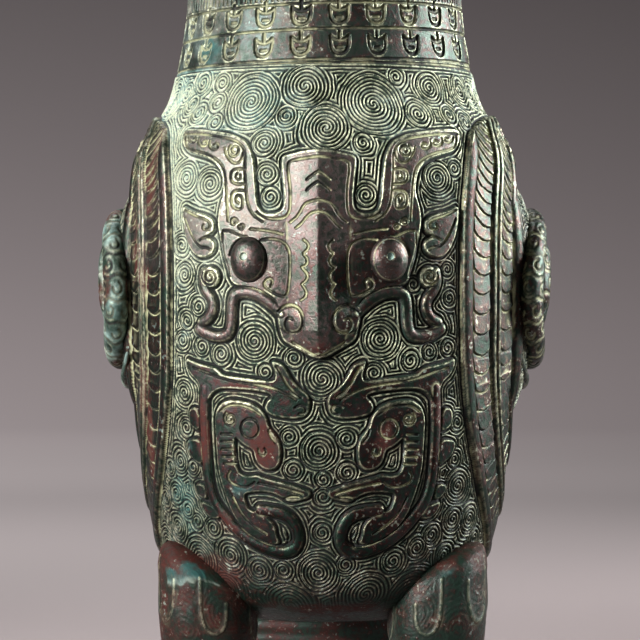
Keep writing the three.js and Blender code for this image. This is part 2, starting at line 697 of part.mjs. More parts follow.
function headLid() {
  const bore = LID_LIP_RADIUS - LID_LIP_WIDTH;
  const inner = lidProfile(-LID_WALL, 7).filter(([, z]) => z > rimHeight + LID_LIP_THICKNESS + LID_WALL);
  const pairs = [
    [0, rimHeight - LID_WALL], [bore, rimHeight - LID_WALL], [bore, rimHeight + LID_LIP_THICKNESS],
    ...inner,
  ];
  return lidGrown(0).subtract(turned(pairs, CAVITY_SIDES, ovalness));
}

// The flange fits the narrowest part of the neck that it reaches
function lidFlange() {
  const depths = [0, FLANGE_DEPTH / 2, FLANGE_DEPTH];
  const neck = depths.map((depth) => radiusOn(cavityCurve, cavityMouth[1] - depth));
  const outer = Math.min(...neck) - FLANGE_CLEARANCE;
  const inner = outer - FLANGE_THICKNESS;
  const foot = rimHeight - FLANGE_DEPTH;
  const pairs = [
    [0, foot], [outer - FLANGE_CLEARANCE, foot], [outer, foot + FLANGE_THICKNESS],
    [outer, rimHeight], [0, rimHeight],
  ];
  const bore = [
    [0, foot - WALL], [inner, foot - WALL], [inner, rimHeight + WALL], [0, rimHeight + WALL],
  ];
  return turned(pairs, CAVITY_SIDES, ovalness).subtract(turned(bore, CAVITY_SIDES, ovalness));
}

const fineLid = lidProfile(0, 80);
const lidRadius = (height) => fineLid[Math.max(1, fineLid.findIndex(([, z]) => z >= rimHeight + height))][0];

function lidEye() {
  const radius = lidRadius(LID_EYE_HEIGHT);
  const front = ovalness * Math.sqrt(radius ** 2 - LID_EYE_OUT ** 2);
  const out = new THREE.Vector3(LID_EYE_OUT, -front / ovalness ** 2, radius / 3).normalize();
  const inside = LID_EYE_RADIUS - LID_EYE_RIM;
  const floor = LID_EYE_RISE - LID_EYE_STEP;
  const pairs = [
    [0, -2 * LID_WALL], [LID_EYE_RADIUS, -2 * LID_WALL], [LID_EYE_RADIUS, LID_EYE_RISE - LID_EYE_STEP / 2],
    [LID_EYE_RADIUS - LID_EYE_STEP / 2, LID_EYE_RISE], [inside + LID_EYE_STEP / 4, LID_EYE_RISE],
    [inside, floor], [LID_EYE_BOSS, floor], [LID_EYE_BOSS * 0.8, LID_EYE_BULGE - LID_EYE_STEP],
    [LID_EYE_BOSS * 0.4, LID_EYE_BULGE - LID_EYE_STEP / 6], [0, LID_EYE_BULGE],
  ];
  const geometry = new THREE.LatheGeometry(pairs.map((p) => new THREE.Vector2(...p)), 16);
  geometry.applyQuaternion(new THREE.Quaternion().setFromUnitVectors(new THREE.Vector3(0, 1, 0), out));
  geometry.translate(LID_EYE_OUT, -front, rimHeight + LID_EYE_HEIGHT);
  return lidSeated(solidFrom(geometry));
}

function beak() {
  const root = ovalness * lidRadius(BEAK_HEIGHT);
  const top = rimHeight + BEAK_HEIGHT;
  const path = [
    [0, BEAK_ROOT - root, top + BEAK_BRIDGE / 3], [0, -root - BEAK_BRIDGE, top + BEAK_BRIDGE / 6],
    [0, -root - BEAK_REACH * 0.8, top - BEAK_DROP * 0.2], [0, -root - BEAK_REACH, top - BEAK_DROP * 0.6],
    [0, -root - BEAK_REACH * 0.85, top - BEAK_DROP],
  ];
  return lidSeated(bar(path, (share) => BEAK_RADIUS * (1 - 0.88 * share), 9, 10));
}

function tuft() {
  const low = rimHeight + lidTop - TUFT_ROOT_DEPTH;
  const tip = rimHeight + TUFT_HEIGHT;
  const path = [
    [TUFT_OUT, -TUFT_FRONT, low],
    [TUFT_OUT + TUFT_FLARE * 0.25, -TUFT_FRONT - TUFT_LEAN, (low + tip) / 2],
    [TUFT_OUT + TUFT_FLARE, -TUFT_FRONT + 2 * TUFT_LEAN, tip],
  ];
  return lidSeated(bar(path, (share) => TUFT_RADIUS * Math.cos(1.3 * share), 7, 12, TUFT_FLATNESS));
}

function knob() {
  const foot = rimHeight + lidTop - LID_WALL;
  const neck = rimHeight + lidTop + KNOB_STEM_HEIGHT;
  const pairs = [
    [0, foot], [KNOB_STEM_RADIUS + KNOB_EDGE, foot], [KNOB_STEM_RADIUS, neck - KNOB_EDGE],
    [KNOB_CAP_RADIUS - KNOB_EDGE / 2, neck], [KNOB_CAP_RADIUS, neck + KNOB_EDGE],
    [KNOB_CAP_RADIUS * 0.72, neck + KNOB_CAP_HEIGHT * 0.7], [0, neck + KNOB_CAP_HEIGHT],
  ];
  return lidSeated(turned(pairs, 18));
}

// Assembly
const bronze = {
  dark: { color: '#4a4a40', roughness: 0.55, metalness: 0.8 },
  green: { color: '#5f6f5f', roughness: 0.7, metalness: 0.6 },
  worn: { color: '#6d6655', roughness: 0.45, metalness: 0.85 },
  red: { color: '#6a4b3a', roughness: 0.6, metalness: 0.7 },
};

const owl = new THREE.Group();
owl.name = 'owl_vessel';
const upright = new THREE.Group();
upright.name = 'upright';
owl.add(upright);

function addPiece(name, solid, finish) {
  const mesh = solid.getMesh();
  const geometry = new THREE.BufferGeometry();
  geometry.setAttribute('position', new THREE.BufferAttribute(Float32Array.from(mesh.vertProperties), 3));
  geometry.setIndex(new THREE.BufferAttribute(Uint32Array.from(mesh.triVerts), 1));
  geometry.computeVertexNormals();
  const piece = new THREE.Mesh(geometry, new THREE.MeshStandardMaterial(bronze[finish]));
  piece.name = name;
  upright.add(piece);
}

function addPair(name, solid, finish) {
  addPiece(`right_${name}`, solid, finish);
  addPiece(`left_${name}`, solid.mirror([1, 0, 0]), finish);
}

addPiece('body_shell', bodyShell(), 'green');
addPiece('mask_nose', maskNose(), 'worn');
addPair('mask_horn', maskHorn(), 'worn');
addPair('mask_cheek', maskCheek(), 'worn');
addPair('mask_eye', maskEye(), 'dark');
addPair('mask_jaw', maskJaw(), 'worn');
addPair('mask_ear', maskEar(), 'worn');
addPair('mask_curl', maskCurl(), 'worn');
addPair('dragon_body', dragonBody(), 'red');
addPair('dragon_head', dragonHead(), 'red');
addPair('wing', wing(), 'green');
addPair('serpent', serpent(), 'dark');
addPair('serpent_head', serpentHead(), 'dark');
addPair('leg', leg(), 'dark');
addPair('foot', foot(), 'dark');
addPiece('tail', tail(), 'green');
addPiece('head_lid', headLid(), 'green');
addPiece('lid_flange', lidFlange(), 'dark');
addPiece('beak', beak(), 'worn');
addPair('lid_eye', lidEye(), 'worn');
addPair('tuft', tuft(), 'green');
addPiece('knob', knob(), 'dark');

// The frame's origin lies under the middle of the whole object
const extent = new THREE.Box3().setFromObject(upright);
upright.position.y = -(extent.min.y + extent.max.y) / 2;

export default owl;
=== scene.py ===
# Bronze owl vessel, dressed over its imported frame. Sizes are millimetres until a mesh is made.
import math
import bpy
import numpy as np
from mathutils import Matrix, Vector


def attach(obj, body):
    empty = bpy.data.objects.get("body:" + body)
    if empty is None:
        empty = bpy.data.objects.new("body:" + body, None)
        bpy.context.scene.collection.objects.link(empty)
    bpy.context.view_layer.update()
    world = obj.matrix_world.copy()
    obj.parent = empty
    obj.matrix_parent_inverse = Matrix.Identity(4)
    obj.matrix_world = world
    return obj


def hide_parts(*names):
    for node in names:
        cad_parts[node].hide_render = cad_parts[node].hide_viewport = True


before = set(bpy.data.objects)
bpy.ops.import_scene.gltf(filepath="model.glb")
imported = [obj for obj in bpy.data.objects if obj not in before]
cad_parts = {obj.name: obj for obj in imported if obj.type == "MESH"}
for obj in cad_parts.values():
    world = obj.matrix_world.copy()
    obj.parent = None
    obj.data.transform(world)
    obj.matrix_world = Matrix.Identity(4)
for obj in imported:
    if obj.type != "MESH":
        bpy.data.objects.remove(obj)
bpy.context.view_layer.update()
mm = 0.001
coarse = 1.0   # a quick trial uses wider grid steps
print("frame loaded:", len(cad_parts), "nodes")


def splineThrough(points, count):
    p = np.array(points, float)
    last = len(p) - 1
    t = np.linspace(0, last, count)
    i = np.minimum(t.astype(int), last - 1)
    w = (t - i)[:, None]
    before, here = p[np.maximum(i - 1, 0)], p[i]
    after, beyond = p[i + 1], p[np.minimum(i + 2, last)]
    rise, fall = (after - before) / 2, (beyond - here) / 2
    cubic = (2 * here - 2 * after + rise + fall) * w ** 3
    return cubic + (3 * after - 3 * here - 2 * rise - fall) * w ** 2 + rise * w + here


def runOf(p):
    return np.r_[0, np.cumsum(np.linalg.norm(np.diff(p, axis=0), axis=1))]


def evenly(points, step):
    p = np.asarray(points, float)
    run = runOf(p)
    places = np.linspace(0, run[-1], max(2, int(run[-1] / step) + 1))
    return np.stack([np.interp(places, run, p[:, k]) for k in range(p.shape[1])], 1)


def softened(points, closed=False, rounds=2):
    # cuts the corners of a stroke, as a graver or a wax tool leaves them
    p = np.array(points, float)
    for _ in range(rounds):
        q = np.vstack([p, p[:1]]) if closed else p
        near, far = 0.75 * q[:-1] + 0.25 * q[1:], 0.25 * q[:-1] + 0.75 * q[1:]
        cut = np.stack([near, far], 1).reshape(-1, p.shape[1])
        p = cut if closed else np.vstack([p[:1], cut[1:-1], p[-1:]])
    return p


def smooth(low, high, x):
    t = np.clip((x - low) / (high - low), 0, 1)
    return t * t * (3 - 2 * t)


def mixed(a, b, t):
    return a + (b - a) * t


def hump(x, at, width):
    return np.exp(-((x - at) / width) ** 2)


def laps(q):
    # rows of overlapping scales, a new one at each whole number of q, and how far along a scale is
    tile = q - np.floor(q)
    return (0.25 + 0.75 * tile) * (1 - smooth(0.9, 1.0, tile)), tile


def spread(place, *ways):
    # adds grids of distances to a place, each along its direction
    points = np.asarray(place, float)
    for far, way in ways:
        points = points + far[..., None] * np.asarray(way)
    return points


def cloud(us, zs, size, seed):
    # soft uneven field from -1 to 1, about size mm from hill to hollow
    rng = np.random.default_rng(seed)
    lattice = rng.uniform(-1, 1, (64, 64))
    def places(values):
        t = np.asarray(values, float) / size + 9.37
        i = np.floor(t).astype(int)
        w = t - i
        return i % 64, (i + 1) % 64, w * w * (3 - 2 * w)
    c0, c1, cw = places(us)
    r0, r1, rw = places(zs)
    low = mixed(lattice[np.ix_(r0, c0)], lattice[np.ix_(r0, c1)], cw[None, :])
    high = mixed(lattice[np.ix_(r1, c0)], lattice[np.ix_(r1, c1)], cw[None, :])
    return mixed(low, high, rw[:, None])


def blurred(field, reach):
    reach = max(1, int(round(reach)))
    for axis in (0, 1, 0, 1):
        padded = np.pad(field, [(reach + 1, reach) if k == axis else (0, 0) for k in (0, 1)], mode="edge")
        total = np.cumsum(padded, axis=axis, dtype=np.float64)
        width = 2 * reach + 1
        if axis == 0:
            field = (total[width:] - total[:-width]) / width
        else:
            field = (total[:, width:] - total[:, :-width]) / width
    return field


def nearLine(field, us, zs, points, reach, along=None):
    # lowers field to the distance from a stroke; along gets the way run on the stroke so far
    run = 0.0
    for (u0, z0), (u1, z1) in zip(points[:-1], points[1:]):
        du, dz = u1 - u0, z1 - z0
        length = math.hypot(du, dz)
        a, b = np.searchsorted(us, [min(u0, u1) - reach, max(u0, u1) + reach])
        c, d = np.searchsorted(zs, [min(z0, z1) - reach, max(z0, z1) + reach])
        if length > 1e-6 and b > a and d > c:
            x = us[None, a:b] - u0
            y = zs[c:d, None] - z0
            t = np.clip((x * du + y * dz) / length ** 2, 0, 1)
            near = np.hypot(x - t * du, y - t * dz)
            if along is not None:
                closer = near < field[c:d, a:b]
                along[c:d, a:b] = np.where(closer, run + t * length, along[c:d, a:b])
            field[c:d, a:b] = np.minimum(field[c:d, a:b], near)
        run += length


def within(us, zs, points):
    inside = np.zeros((len(zs), len(us)), bool)
    loop = [tuple(p) for p in points]
    for (u0, z0), (u1, z1) in zip(loop, loop[1:] + loop[:1]):
        if z0 == z1:
            continue
        c, d = np.searchsorted(zs, sorted((z0, z1)))
        cross = u0 + (zs[c:d] - z0) / (z1 - z0) * (u1 - u0)
        inside[c:d] ^= us[None, :] < cross[:, None]
    return inside


def inset(us, zs, points, reach):
    # how far inside an outline each place is; outside it is negative
    line = softened(points, closed=True)
    away = np.full((len(zs), len(us)), float(reach))
    nearLine(away, us, zs, np.vstack([line, line[:1]]), reach)
    return np.where(within(us, zs, line), away, -away)


def gridNormals(points, wrapped=False):
    down = np.gradient(points, axis=0)
    over = np.gradient(points, axis=1)
    if wrapped:
        seam = (points[:, 1] - points[:, -2]) / 2
        over[:, 0] = over[:, -1] = seam
    normals = np.cross(over, down)
    return normals / np.maximum(np.linalg.norm(normals, axis=2, keepdims=True), 1e-12)


def gridPiece(name, points, layers, finish, normals=None, flip=False):
    # a sheet of quads over a rows by columns grid, in metres, with its finish layers and bake map
    rows, cols = points.shape[:2]
    mesh = bpy.data.meshes.new(name)
    index = np.arange(rows * cols).reshape(rows, cols)
    corners = [index[:-1, :-1], index[:-1, 1:], index[1:, 1:], index[1:, :-1]]
    quads = np.stack(corners[::-1] if flip else corners, 2).reshape(-1, 4)
    mesh.vertices.add(rows * cols)
    mesh.vertices.foreach_set("co", (points.reshape(-1, 3) * mm).astype(np.float32).ravel())
    mesh.loops.add(quads.size)
    mesh.loops.foreach_set("vertex_index", quads.ravel().astype(np.int32))
    mesh.polygons.add(len(quads))
    mesh.polygons.foreach_set("loop_start", np.arange(0, quads.size, 4, dtype=np.int32))
    mesh.update(calc_edges=True)
    mesh.shade_smooth()
    bake = mesh.uv_layers.new(name="OFBake")
    flat = np.stack(np.broadcast_arrays(
        np.linspace(0.01, 0.99, cols)[None, :], np.linspace(0.01, 0.99, rows)[:, None]), 2).reshape(-1, 2)
    bake.data.foreach_set("uv", flat[quads.ravel()].astype(np.float32).ravel())
    for layer, values in layers.items():
        spot = mesh.attributes.new(layer, "FLOAT", "POINT")
        spot.data.foreach_set("value", np.broadcast_to(values, (rows, cols)).astype(np.float32).ravel())
    if normals is not None:
        turn = -1.0 if flip else 1.0
        mesh.normals_split_custom_set_from_vertices((turn * normals).reshape(-1, 3).tolist())
    mesh.materials.append(finish)
    piece = bpy.data.objects.new(name, mesh)
    bpy.context.scene.collection.objects.link(piece)
    return piece


def settle(piece, body, slotName, *nodes):
    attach(piece, body)
    if nodes:
        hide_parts(*nodes)
    return piece


# mm round a place that count as near and wide, and the differences in height for a full layer
reliefReach = {"nearMm": 0.8, "wideMm": 3.2, "hollow": 0.17, "proudFrom": 0.1, "proud": 0.25, "shade": 1.8}


def reliefLayers(height, step):
    # where the casting is hollow or stands proud of what is round it, for the finish, and painted shade where
    # higher work round a place would shade it
    near = blurred(height, reliefReach["nearMm"] / step)
    wide = blurred(height, reliefReach["wideMm"] / step)
    return {
        "hollow": np.clip((near - height) / reliefReach["hollow"], 0, 1),
        "proud": np.clip((height - near - reliefReach["proudFrom"]) / reliefReach["proud"], 0, 1),
        # painted shade: how far a place lies below the wider relief round it
        "shade": np.clip((wide - height) / reliefReach["shade"], 0, 1),
    }


def tint(code):
    parts = [int(code[k:k + 2], 16) / 255 for k in (1, 3, 5)]
    return tuple(c / 12.92 if c <= 0.04045 else ((c + 0.055) / 1.055) ** 2.4 for c in parts) + (1.0,)


def addNode(tree, kind, settings, give=0):
    # settings: node options by name, values for sockets, or the sockets of other nodes to link from
    node = tree.nodes.new(kind)
    for key, value in settings.items():
        if isinstance(key, str) and hasattr(node, key):
            setattr(node, key, value)
        elif isinstance(value, bpy.types.NodeSocket):
            tree.links.new(value, node.inputs[key])
        else:
            node.inputs[key].default_value = value
    return node.outputs[give] if len(node.outputs) else node


patina = {
    "metal": "#463f3f",        # cast tin bronze, pinkish brown grey where the light catches it
    "rubbed": "#615855",       # the same metal handled paler, on the mask and the wing edges
    "filmAndShade": "#161e1c",         # green black tarnish in wide patches of the plates, partly painted shade, more where the bloom layer is low, away from the light
    "cream": "#dbe4bf",        # mineral left along edges and thread tops
    "verdigris": "#1a3a2b",    # thin dark green skin of the ground
    "bloom": "#ccdcc8",        # powdery pale green over it
    "bloomBlue": "#9cc3bb",    # and where it turns bluer
    "fill": "#b5ba92",         # pale earth in the cut lines
    "moss": "#28493a",         # green oxide in soft blotches on the plates
    "malachite": "#20605c",    # thick blue green crust
    "cuprite": "#49170b",      # red brown oxide
    "sootAndShade": "#050a07",         # near black: dirt and painted shade in the grooves, painted shade in the corners at the foot of raised work
    "fields": [(46, 4), (10.5, 6), (2.1, 4), (0.7, 3)],   # mm across and detail: wide, blotch, speck, pit
    "fieldRough": 0.6,
    "spans": {   # where in its field a layer starts and is full, its least and its most
        "plate": (0.35, 0.75, 0, 1), "rub": (0.8, 0.98, 0, 1), "rusty": (1.3, 1.75, 0, 1),
        "flaked": (0.3, 0.5, 0.6, 0.95), "crust": (1.4, 1.85, 0, 0.85), "bloom": (0.95, 1.5, 0, 1),
        "broken": (0.36, 0.58, 0.12, 0.95), "pale": (0.0, 0.35, 0.6, 1.0), "fleck": (0.68, 0.8, 0, 0.5),
        "earthy": (0.72, 0.98, 0, 1), "tarnishAndShade": (0.2, 0.45, 0, 0.8), "drift": (0.42, 0.6, 0, 1),
        "greened": (0.51, 0.43, 0, 0.5), "mottled": (0.5, 0.57, 0, 0.5),
    },
    "straight": ("flaked", "pale"),   # these two rise in a straight line
    "rustBlotch": 1.6, "crustBlotch": 1.8, "bloomBlotch": 1.3,   # how far blotches break up a stain
    "bloomOnPlate": -0.78, "bloomOnGround": 0.92, "fleckSpeck": 0.7, "fleckBlotch": 0.5, "earthWide": 0.7,
    "grooveInBloom": -0.1, "grooveDark": 0.95, "cornerShadeDepth": 0.6, "mottleGrain": 0.55, "speckle": 0.7,
    "metalOnPlate": 0.65, "metalOnGround": 0.25, "roughBare": 0.25, "roughCovered": 0.3, "roughSpeck": 0.42,
    "roughRubbed": -0.03, "pitShare": 0.6, "bumpStrength": 0.75, "bumpMm": 0.3,
}


def patinatedBronze(name, red, shine):
    # buried bronze: glossy brown metal on what stands up, green ground, pale edges, dark grooves
    finish = bpy.data.materials.new(name)
    finish.use_nodes = True
    tree = finish.node_tree
    tree.nodes.clear()
    maths, ramp, blend = "ShaderNodeMath", "ShaderNodeMapRange", "ShaderNodeMix"
    times, timesAdd, most = ({"operation": k} for k in ("MULTIPLY", "MULTIPLY_ADD", "MAXIMUM"))
    less = {"operation": "SUBTRACT", "use_clamp": True}
    hues = {"data_type": "RGBA"}
    ends = ("From Min", "From Max", "To Min", "To Max")
    span = {k: dict(zip(ends, v), interpolation_type="LINEAR" if k in patina["straight"] else "SMOOTHSTEP")
            for k, v in patina["spans"].items()}
    where = addNode(tree, "ShaderNodeTexCoord", {}, "Object")
    hollow, proud, shade, raised, jade, rust, bloomAndPaintedLight = (
        addNode(tree, "ShaderNodeAttribute", {"attribute_name": k}, "Fac")
        for k in ("hollow", "proud", "shade", "raised", "jade", "rust", "bloomAndPaintedLight"))
    wide, blotch, speck, pit = (
        addNode(tree, "ShaderNodeTexNoise", {
            "Vector": where, "Scale": 1 / (size * mm), "Detail": detail, "Roughness": patina["fieldRough"]})
        for size, detail in patina["fields"])

    # raised work as against ground, and where hands have rubbed it
    plate, rub = (addNode(tree, ramp, {**span[k], "Value": raised}) for k in ("plate", "rub"))
    # red oxide, blue green crust and pale bloom in blotches, led by the stains and by the bloom layer, which
    # is partly painted light
    redder, bluer, paler = (
        addNode(tree, maths, {**timesAdd, 0: blotch, 1: patina[k], 2: stain})
        for k, stain in (("rustBlotch", rust), ("crustBlotch", jade), ("bloomBlotch", bloomAndPaintedLight)))
    rustFrom, rustFull = (v - red for v in patina["spans"]["rusty"][:2])
    rusty = addNode(tree, ramp, {
        **span["rusty"], "Value": redder, "From Min": rustFrom, "From Max": rustFull})
    flaked = addNode(tree, ramp, {**span["flaked"], "Value": speck})
    rusty = addNode(tree, maths, {**times, 0: rusty, 1: flaked})
    crust = addNode(tree, ramp, {**span["crust"], "Value": bluer})
    bloom = addNode(tree, ramp, {**span["bloom"], "Value": paler})
    thinned = addNode(tree, maths, {
        **timesAdd, 0: plate, 1: patina["bloomOnPlate"], 2: patina["bloomOnGround"]})
    bloom = addNode(tree, maths, {**times, 0: bloom, 1: thinned})
    # pale edges and thread tops, broken by specks, paler where the bloom layer is high, so partly painted
    # light
    edges = proud
    for k, value in (("broken", speck), ("pale", bloomAndPaintedLight)):
        part = addNode(tree, ramp, {**span[k], "Value": value})
        edges = addNode(tree, maths, {**times, 0: edges, 1: part})
    fleck = addNode(tree, maths, {**times, 0: blotch, 1: patina["fleckBlotch"]})
    fleck = addNode(tree, maths, {**timesAdd, 0: speck, 1: patina["fleckSpeck"], 2: fleck})
    fleck = addNode(tree, ramp, {**span["fleck"], "Value": fleck})
    # cut lines on the plates hold pale earth in places, every other groove is dark, partly dirt and partly
    # painted shade
    earthy = addNode(tree, maths, {**timesAdd, 0: wide, 1: patina["earthWide"], 2: blotch})
    earthy = addNode(tree, ramp, {**span["earthy"], "Value": earthy})
    earthy = addNode(tree, maths, {**times, 0: earthy, 1: plate})
    filled = addNode(tree, maths, {**times, 0: hollow, 1: earthy})
    groove = addNode(tree, maths, {**less, 0: hollow, 1: filled})
    lighter = addNode(tree, maths, {
        **timesAdd, 0: bloom, 1: patina["grooveInBloom"], 2: patina["grooveDark"]})
    groove = addNode(tree, maths, {**times, 0: groove, 1: lighter})
    # painted shade in the corners at the foot of higher work
    cornerShade = addNode(tree, maths, {**times, 0: shade, 1: patina["cornerShadeDepth"]})
    dirtAndShade = addNode(tree, maths, {**most, 0: groove, 1: cornerShade})
    # green black tarnish on plates that have no bloom; partly painted shade, as the bloom layer is partly
    # painted light
    tarnishAndShade = addNode(tree, maths, {"operation": "SUBTRACT", 0: wide, 1: bloomAndPaintedLight})
    tarnishAndShade = addNode(tree, ramp, {**span["tarnishAndShade"], "Value": tarnishAndShade})

    # the bloom drifts from green to blue green, and plates are mottled red and green
    drift = addNode(tree, ramp, {**span["drift"], "Value": wide})
    bloomTone = addNode(tree, blend, {
        **hues, 0: drift, 6: tint(patina["bloom"]), 7: tint(patina["bloomBlue"])}, 2)
    grainy = addNode(tree, blend, {"data_type": "FLOAT", 0: patina["mottleGrain"], 2: blotch, 3: speck})
    greened, mottled = (addNode(tree, ramp, {**span[k], "Value": grainy}) for k in ("greened", "mottled"))
    colour = addNode(tree, blend, {
        **hues, 0: plate, 6: tint(patina["verdigris"]), 7: tint(patina["metal"])}, 2)
    coats = [(rub, "rubbed"), (tarnishAndShade, "filmAndShade"), (mottled, "cuprite"), (greened, "moss"), (rusty, "cuprite"),
             (bloom, bloomTone), (fleck, bloomTone), (crust, "malachite"), (edges, "cream"), (dirtAndShade, "sootAndShade"),
             (filled, "fill")]
    for amount, coat in coats:
        paint = tint(patina[coat]) if isinstance(coat, str) else coat
        colour = addNode(tree, blend, {**hues, 0: amount, 6: colour, 7: paint}, 2)
    colour = addNode(tree, blend, {
        **hues, "blend_type": "OVERLAY", 0: patina["speckle"], 6: colour, 7: speck}, 2)

    # bare metal shines, what covers it is dull
    covered = rusty
    for coat in (bloom, crust, dirtAndShade, filled):
        covered = addNode(tree, maths, {**most, 0: covered, 1: coat})
    bare = addNode(tree, maths, {**less, 0: 1.0, 1: covered})
    bright = addNode(tree, maths, {
        **timesAdd, 0: plate, 1: patina["metalOnPlate"], 2: patina["metalOnGround"]})
    metallic = addNode(tree, maths, {**times, 0: bright, 1: bare})
    dull = patina["roughBare"] - shine
    for value, k in ((covered, "roughCovered"), (speck, "roughSpeck"), (rub, "roughRubbed")):
        dull = addNode(tree, maths, {**timesAdd, 0: value, 1: patina[k], 2: dull})
    pitted = addNode(tree, maths, {**timesAdd, 0: pit, 1: patina["pitShare"], 2: speck})
    bump = addNode(tree, "ShaderNodeBump", {
        "Strength": patina["bumpStrength"], "Distance": patina["bumpMm"] * mm, "Height": pitted})
    surface = addNode(tree, "ShaderNodeBsdfPrincipled", {
        "Base Color": colour, "Roughness": dull, "Metallic": metallic, "Normal": bump})
    addNode(tree, "ShaderNodeOutputMaterial", {"Surface": surface})
    return finish


# name, extra red oxide and extra gloss
bronzeGreen = patinatedBronze("bronzeCastGreenPatina", 0.0, 0.0)   # green ground and brown glossy relief
bronzeWorn = patinatedBronze("bronzeCastHandled", 0.05, 0.04)      # eyes and beak: rubbed smooth
bronzeDark = patinatedBronze("bronzeCastDark", 0.12, 0.03)         # legs and serpents: dark brown


studio = {
    "turn": 1.8, "reach": 1280, "eyeHeight": 176, "aside": -1.98, "imageMm": 281.6, "axisBack": -4.49,
    "flat": (0.002, 0.5, 1.2, 2.4, 3.4), "bendRadius": 2.2, "wallTops": (3.4, 5.0),   # metres from here on
    "nearFloor": "#a39999", "farFloor": "#6e6767", "sweep": "#958b8c", "wall": "#8f8788", "sky": "#d8d4d2",
    "paintedFalloffs": [("far", 0.55, 1.7, "farFloor"), ("far", 2.2, 4.4, "sweep"), ("height", 0.0, 1.3, "wall")],
    "rays": [("Is Camera Ray", "far", 1.4, 3.4), ("Is Transmission Ray", "far", 1.4, 3.4),
             ("Is Glossy Ray", "height", 0.0, 1.6)],
    "glowFrom": 2.6, "glowFull": -1.0, "wallGlow": 0.75, "skyStrength": 0.03, "paperRough": 0.9,
    "lamps": [  # place, aim, width, height, watts, beam in degrees, colour
        ((-0.80, -0.74, 0.54), (-0.03, -0.06, 0.24), 1.0, 0.45, 2.6, 25, "#fff8f8"),   # softbox, high left
        ((0.95, 0.26, 0.54), (0.07, 0.0, 0.265), 0.55, 0.35, 1.65, 30, "#ffffff"),     # softbox behind, right
        ((-0.85, 1.7, 2.6), (-0.85, 2.3, 0.0), 1.6, 1.0, 84, 130, "#ffffff"),          # wash behind
        ((0.2, -1.9, 0.5), (0.0, 0.0, 0.2), 1.2, 0.8, 0.6, 180, "#fff8f4"),            # weak fill
    ],
}


def studioFloor():
    # one round sheet: a pale floor that curves up into a greyer wall on every side
    ease = {"interpolation_type": "SMOOTHSTEP"}
    bendAt, radius = studio["flat"][-1], studio["bendRadius"]
    quarter = np.linspace(0, math.pi / 2, 30)
    bend = [(bendAt + radius * math.sin(a), radius - radius * math.cos(a)) for a in quarter]
    line = np.array([(r, 0.0) for r in studio["flat"][:-1]] + bend
                    + [(bendAt + radius, top) for top in studio["wallTops"]])
    turn = np.linspace(0, 2 * math.pi, 97)
    points = np.zeros((len(line), len(turn), 3))
    points[..., 0] = line[:, :1] * np.cos(turn)
    points[..., 1] = line[:, :1] * np.sin(turn)
    points[..., 2] = line[:, 1:]
    paper = bpy.data.materials.new("studioPaperPale")   # matt card, painted darker with distance and up the wall as painted shade
    paper.use_nodes = True
    tree = paper.node_tree
    shader = tree.nodes["Principled BSDF"]
    shader.inputs["Roughness"].default_value = studio["paperRough"]
    place = addNode(tree, "ShaderNodeTexCoord", {}, "Object")
    depth = addNode(tree, "ShaderNodeSeparateXYZ", {0: place}, "Y")
    measures = {"height": addNode(tree, "ShaderNodeSeparateXYZ", {0: place}, "Z"),
                "far": addNode(tree, "ShaderNodeVectorMath", {"operation": "LENGTH", 0: place}, "Value")}
    # painted shade: the card's colour darkens away from the middle and up the wall
    paintedFalloff = tint(studio["nearFloor"])
    for measure, low, high, shade in studio["paintedFalloffs"]:
        share = addNode(tree, "ShaderNodeMapRange", {
            **ease, "Value": measures[measure], "From Min": low, "From Max": high})
        paintedFalloff = addNode(tree, "ShaderNodeMix", {
            "data_type": "RGBA", 0: share, 6: paintedFalloff, 7: tint(studio[shade])}, 2)
    tree.links.new(paintedFalloff, shader.inputs["Base Color"])
    # away from the wash the sheet glows a little in the wall colour though it is no lamp: a painted glow seen
    # by the camera and reflected in the metal
    glowShare = addNode(tree, "ShaderNodeMapRange", {
        **ease, "Value": depth, "From Min": studio["glowFrom"], "From Max": studio["glowFull"],
        "To Max": studio["wallGlow"]})
    glow = 0.0
    for ray, measure, low, high in studio["rays"]:
        seen = addNode(tree, "ShaderNodeLightPath", {}, ray)
        part = addNode(tree, "ShaderNodeMapRange", {
            **ease, "Value": measures[measure], "From Min": low, "From Max": high})
        part = addNode(tree, "ShaderNodeMath", {"operation": "MULTIPLY", 0: seen, 1: part})
        glow = addNode(tree, "ShaderNodeMath", {"operation": "MAXIMUM", 0: glow, 1: part})
    glow = addNode(tree, "ShaderNodeMath", {"operation": "MULTIPLY", 0: glow, 1: glowShare})
    shader.inputs["Emission Color"].default_value = tint(studio["wall"])
    tree.links.new(glow, shader.inputs["Emission Strength"])
    sheet = gridPiece("studioFloor", points / mm, {}, paper)


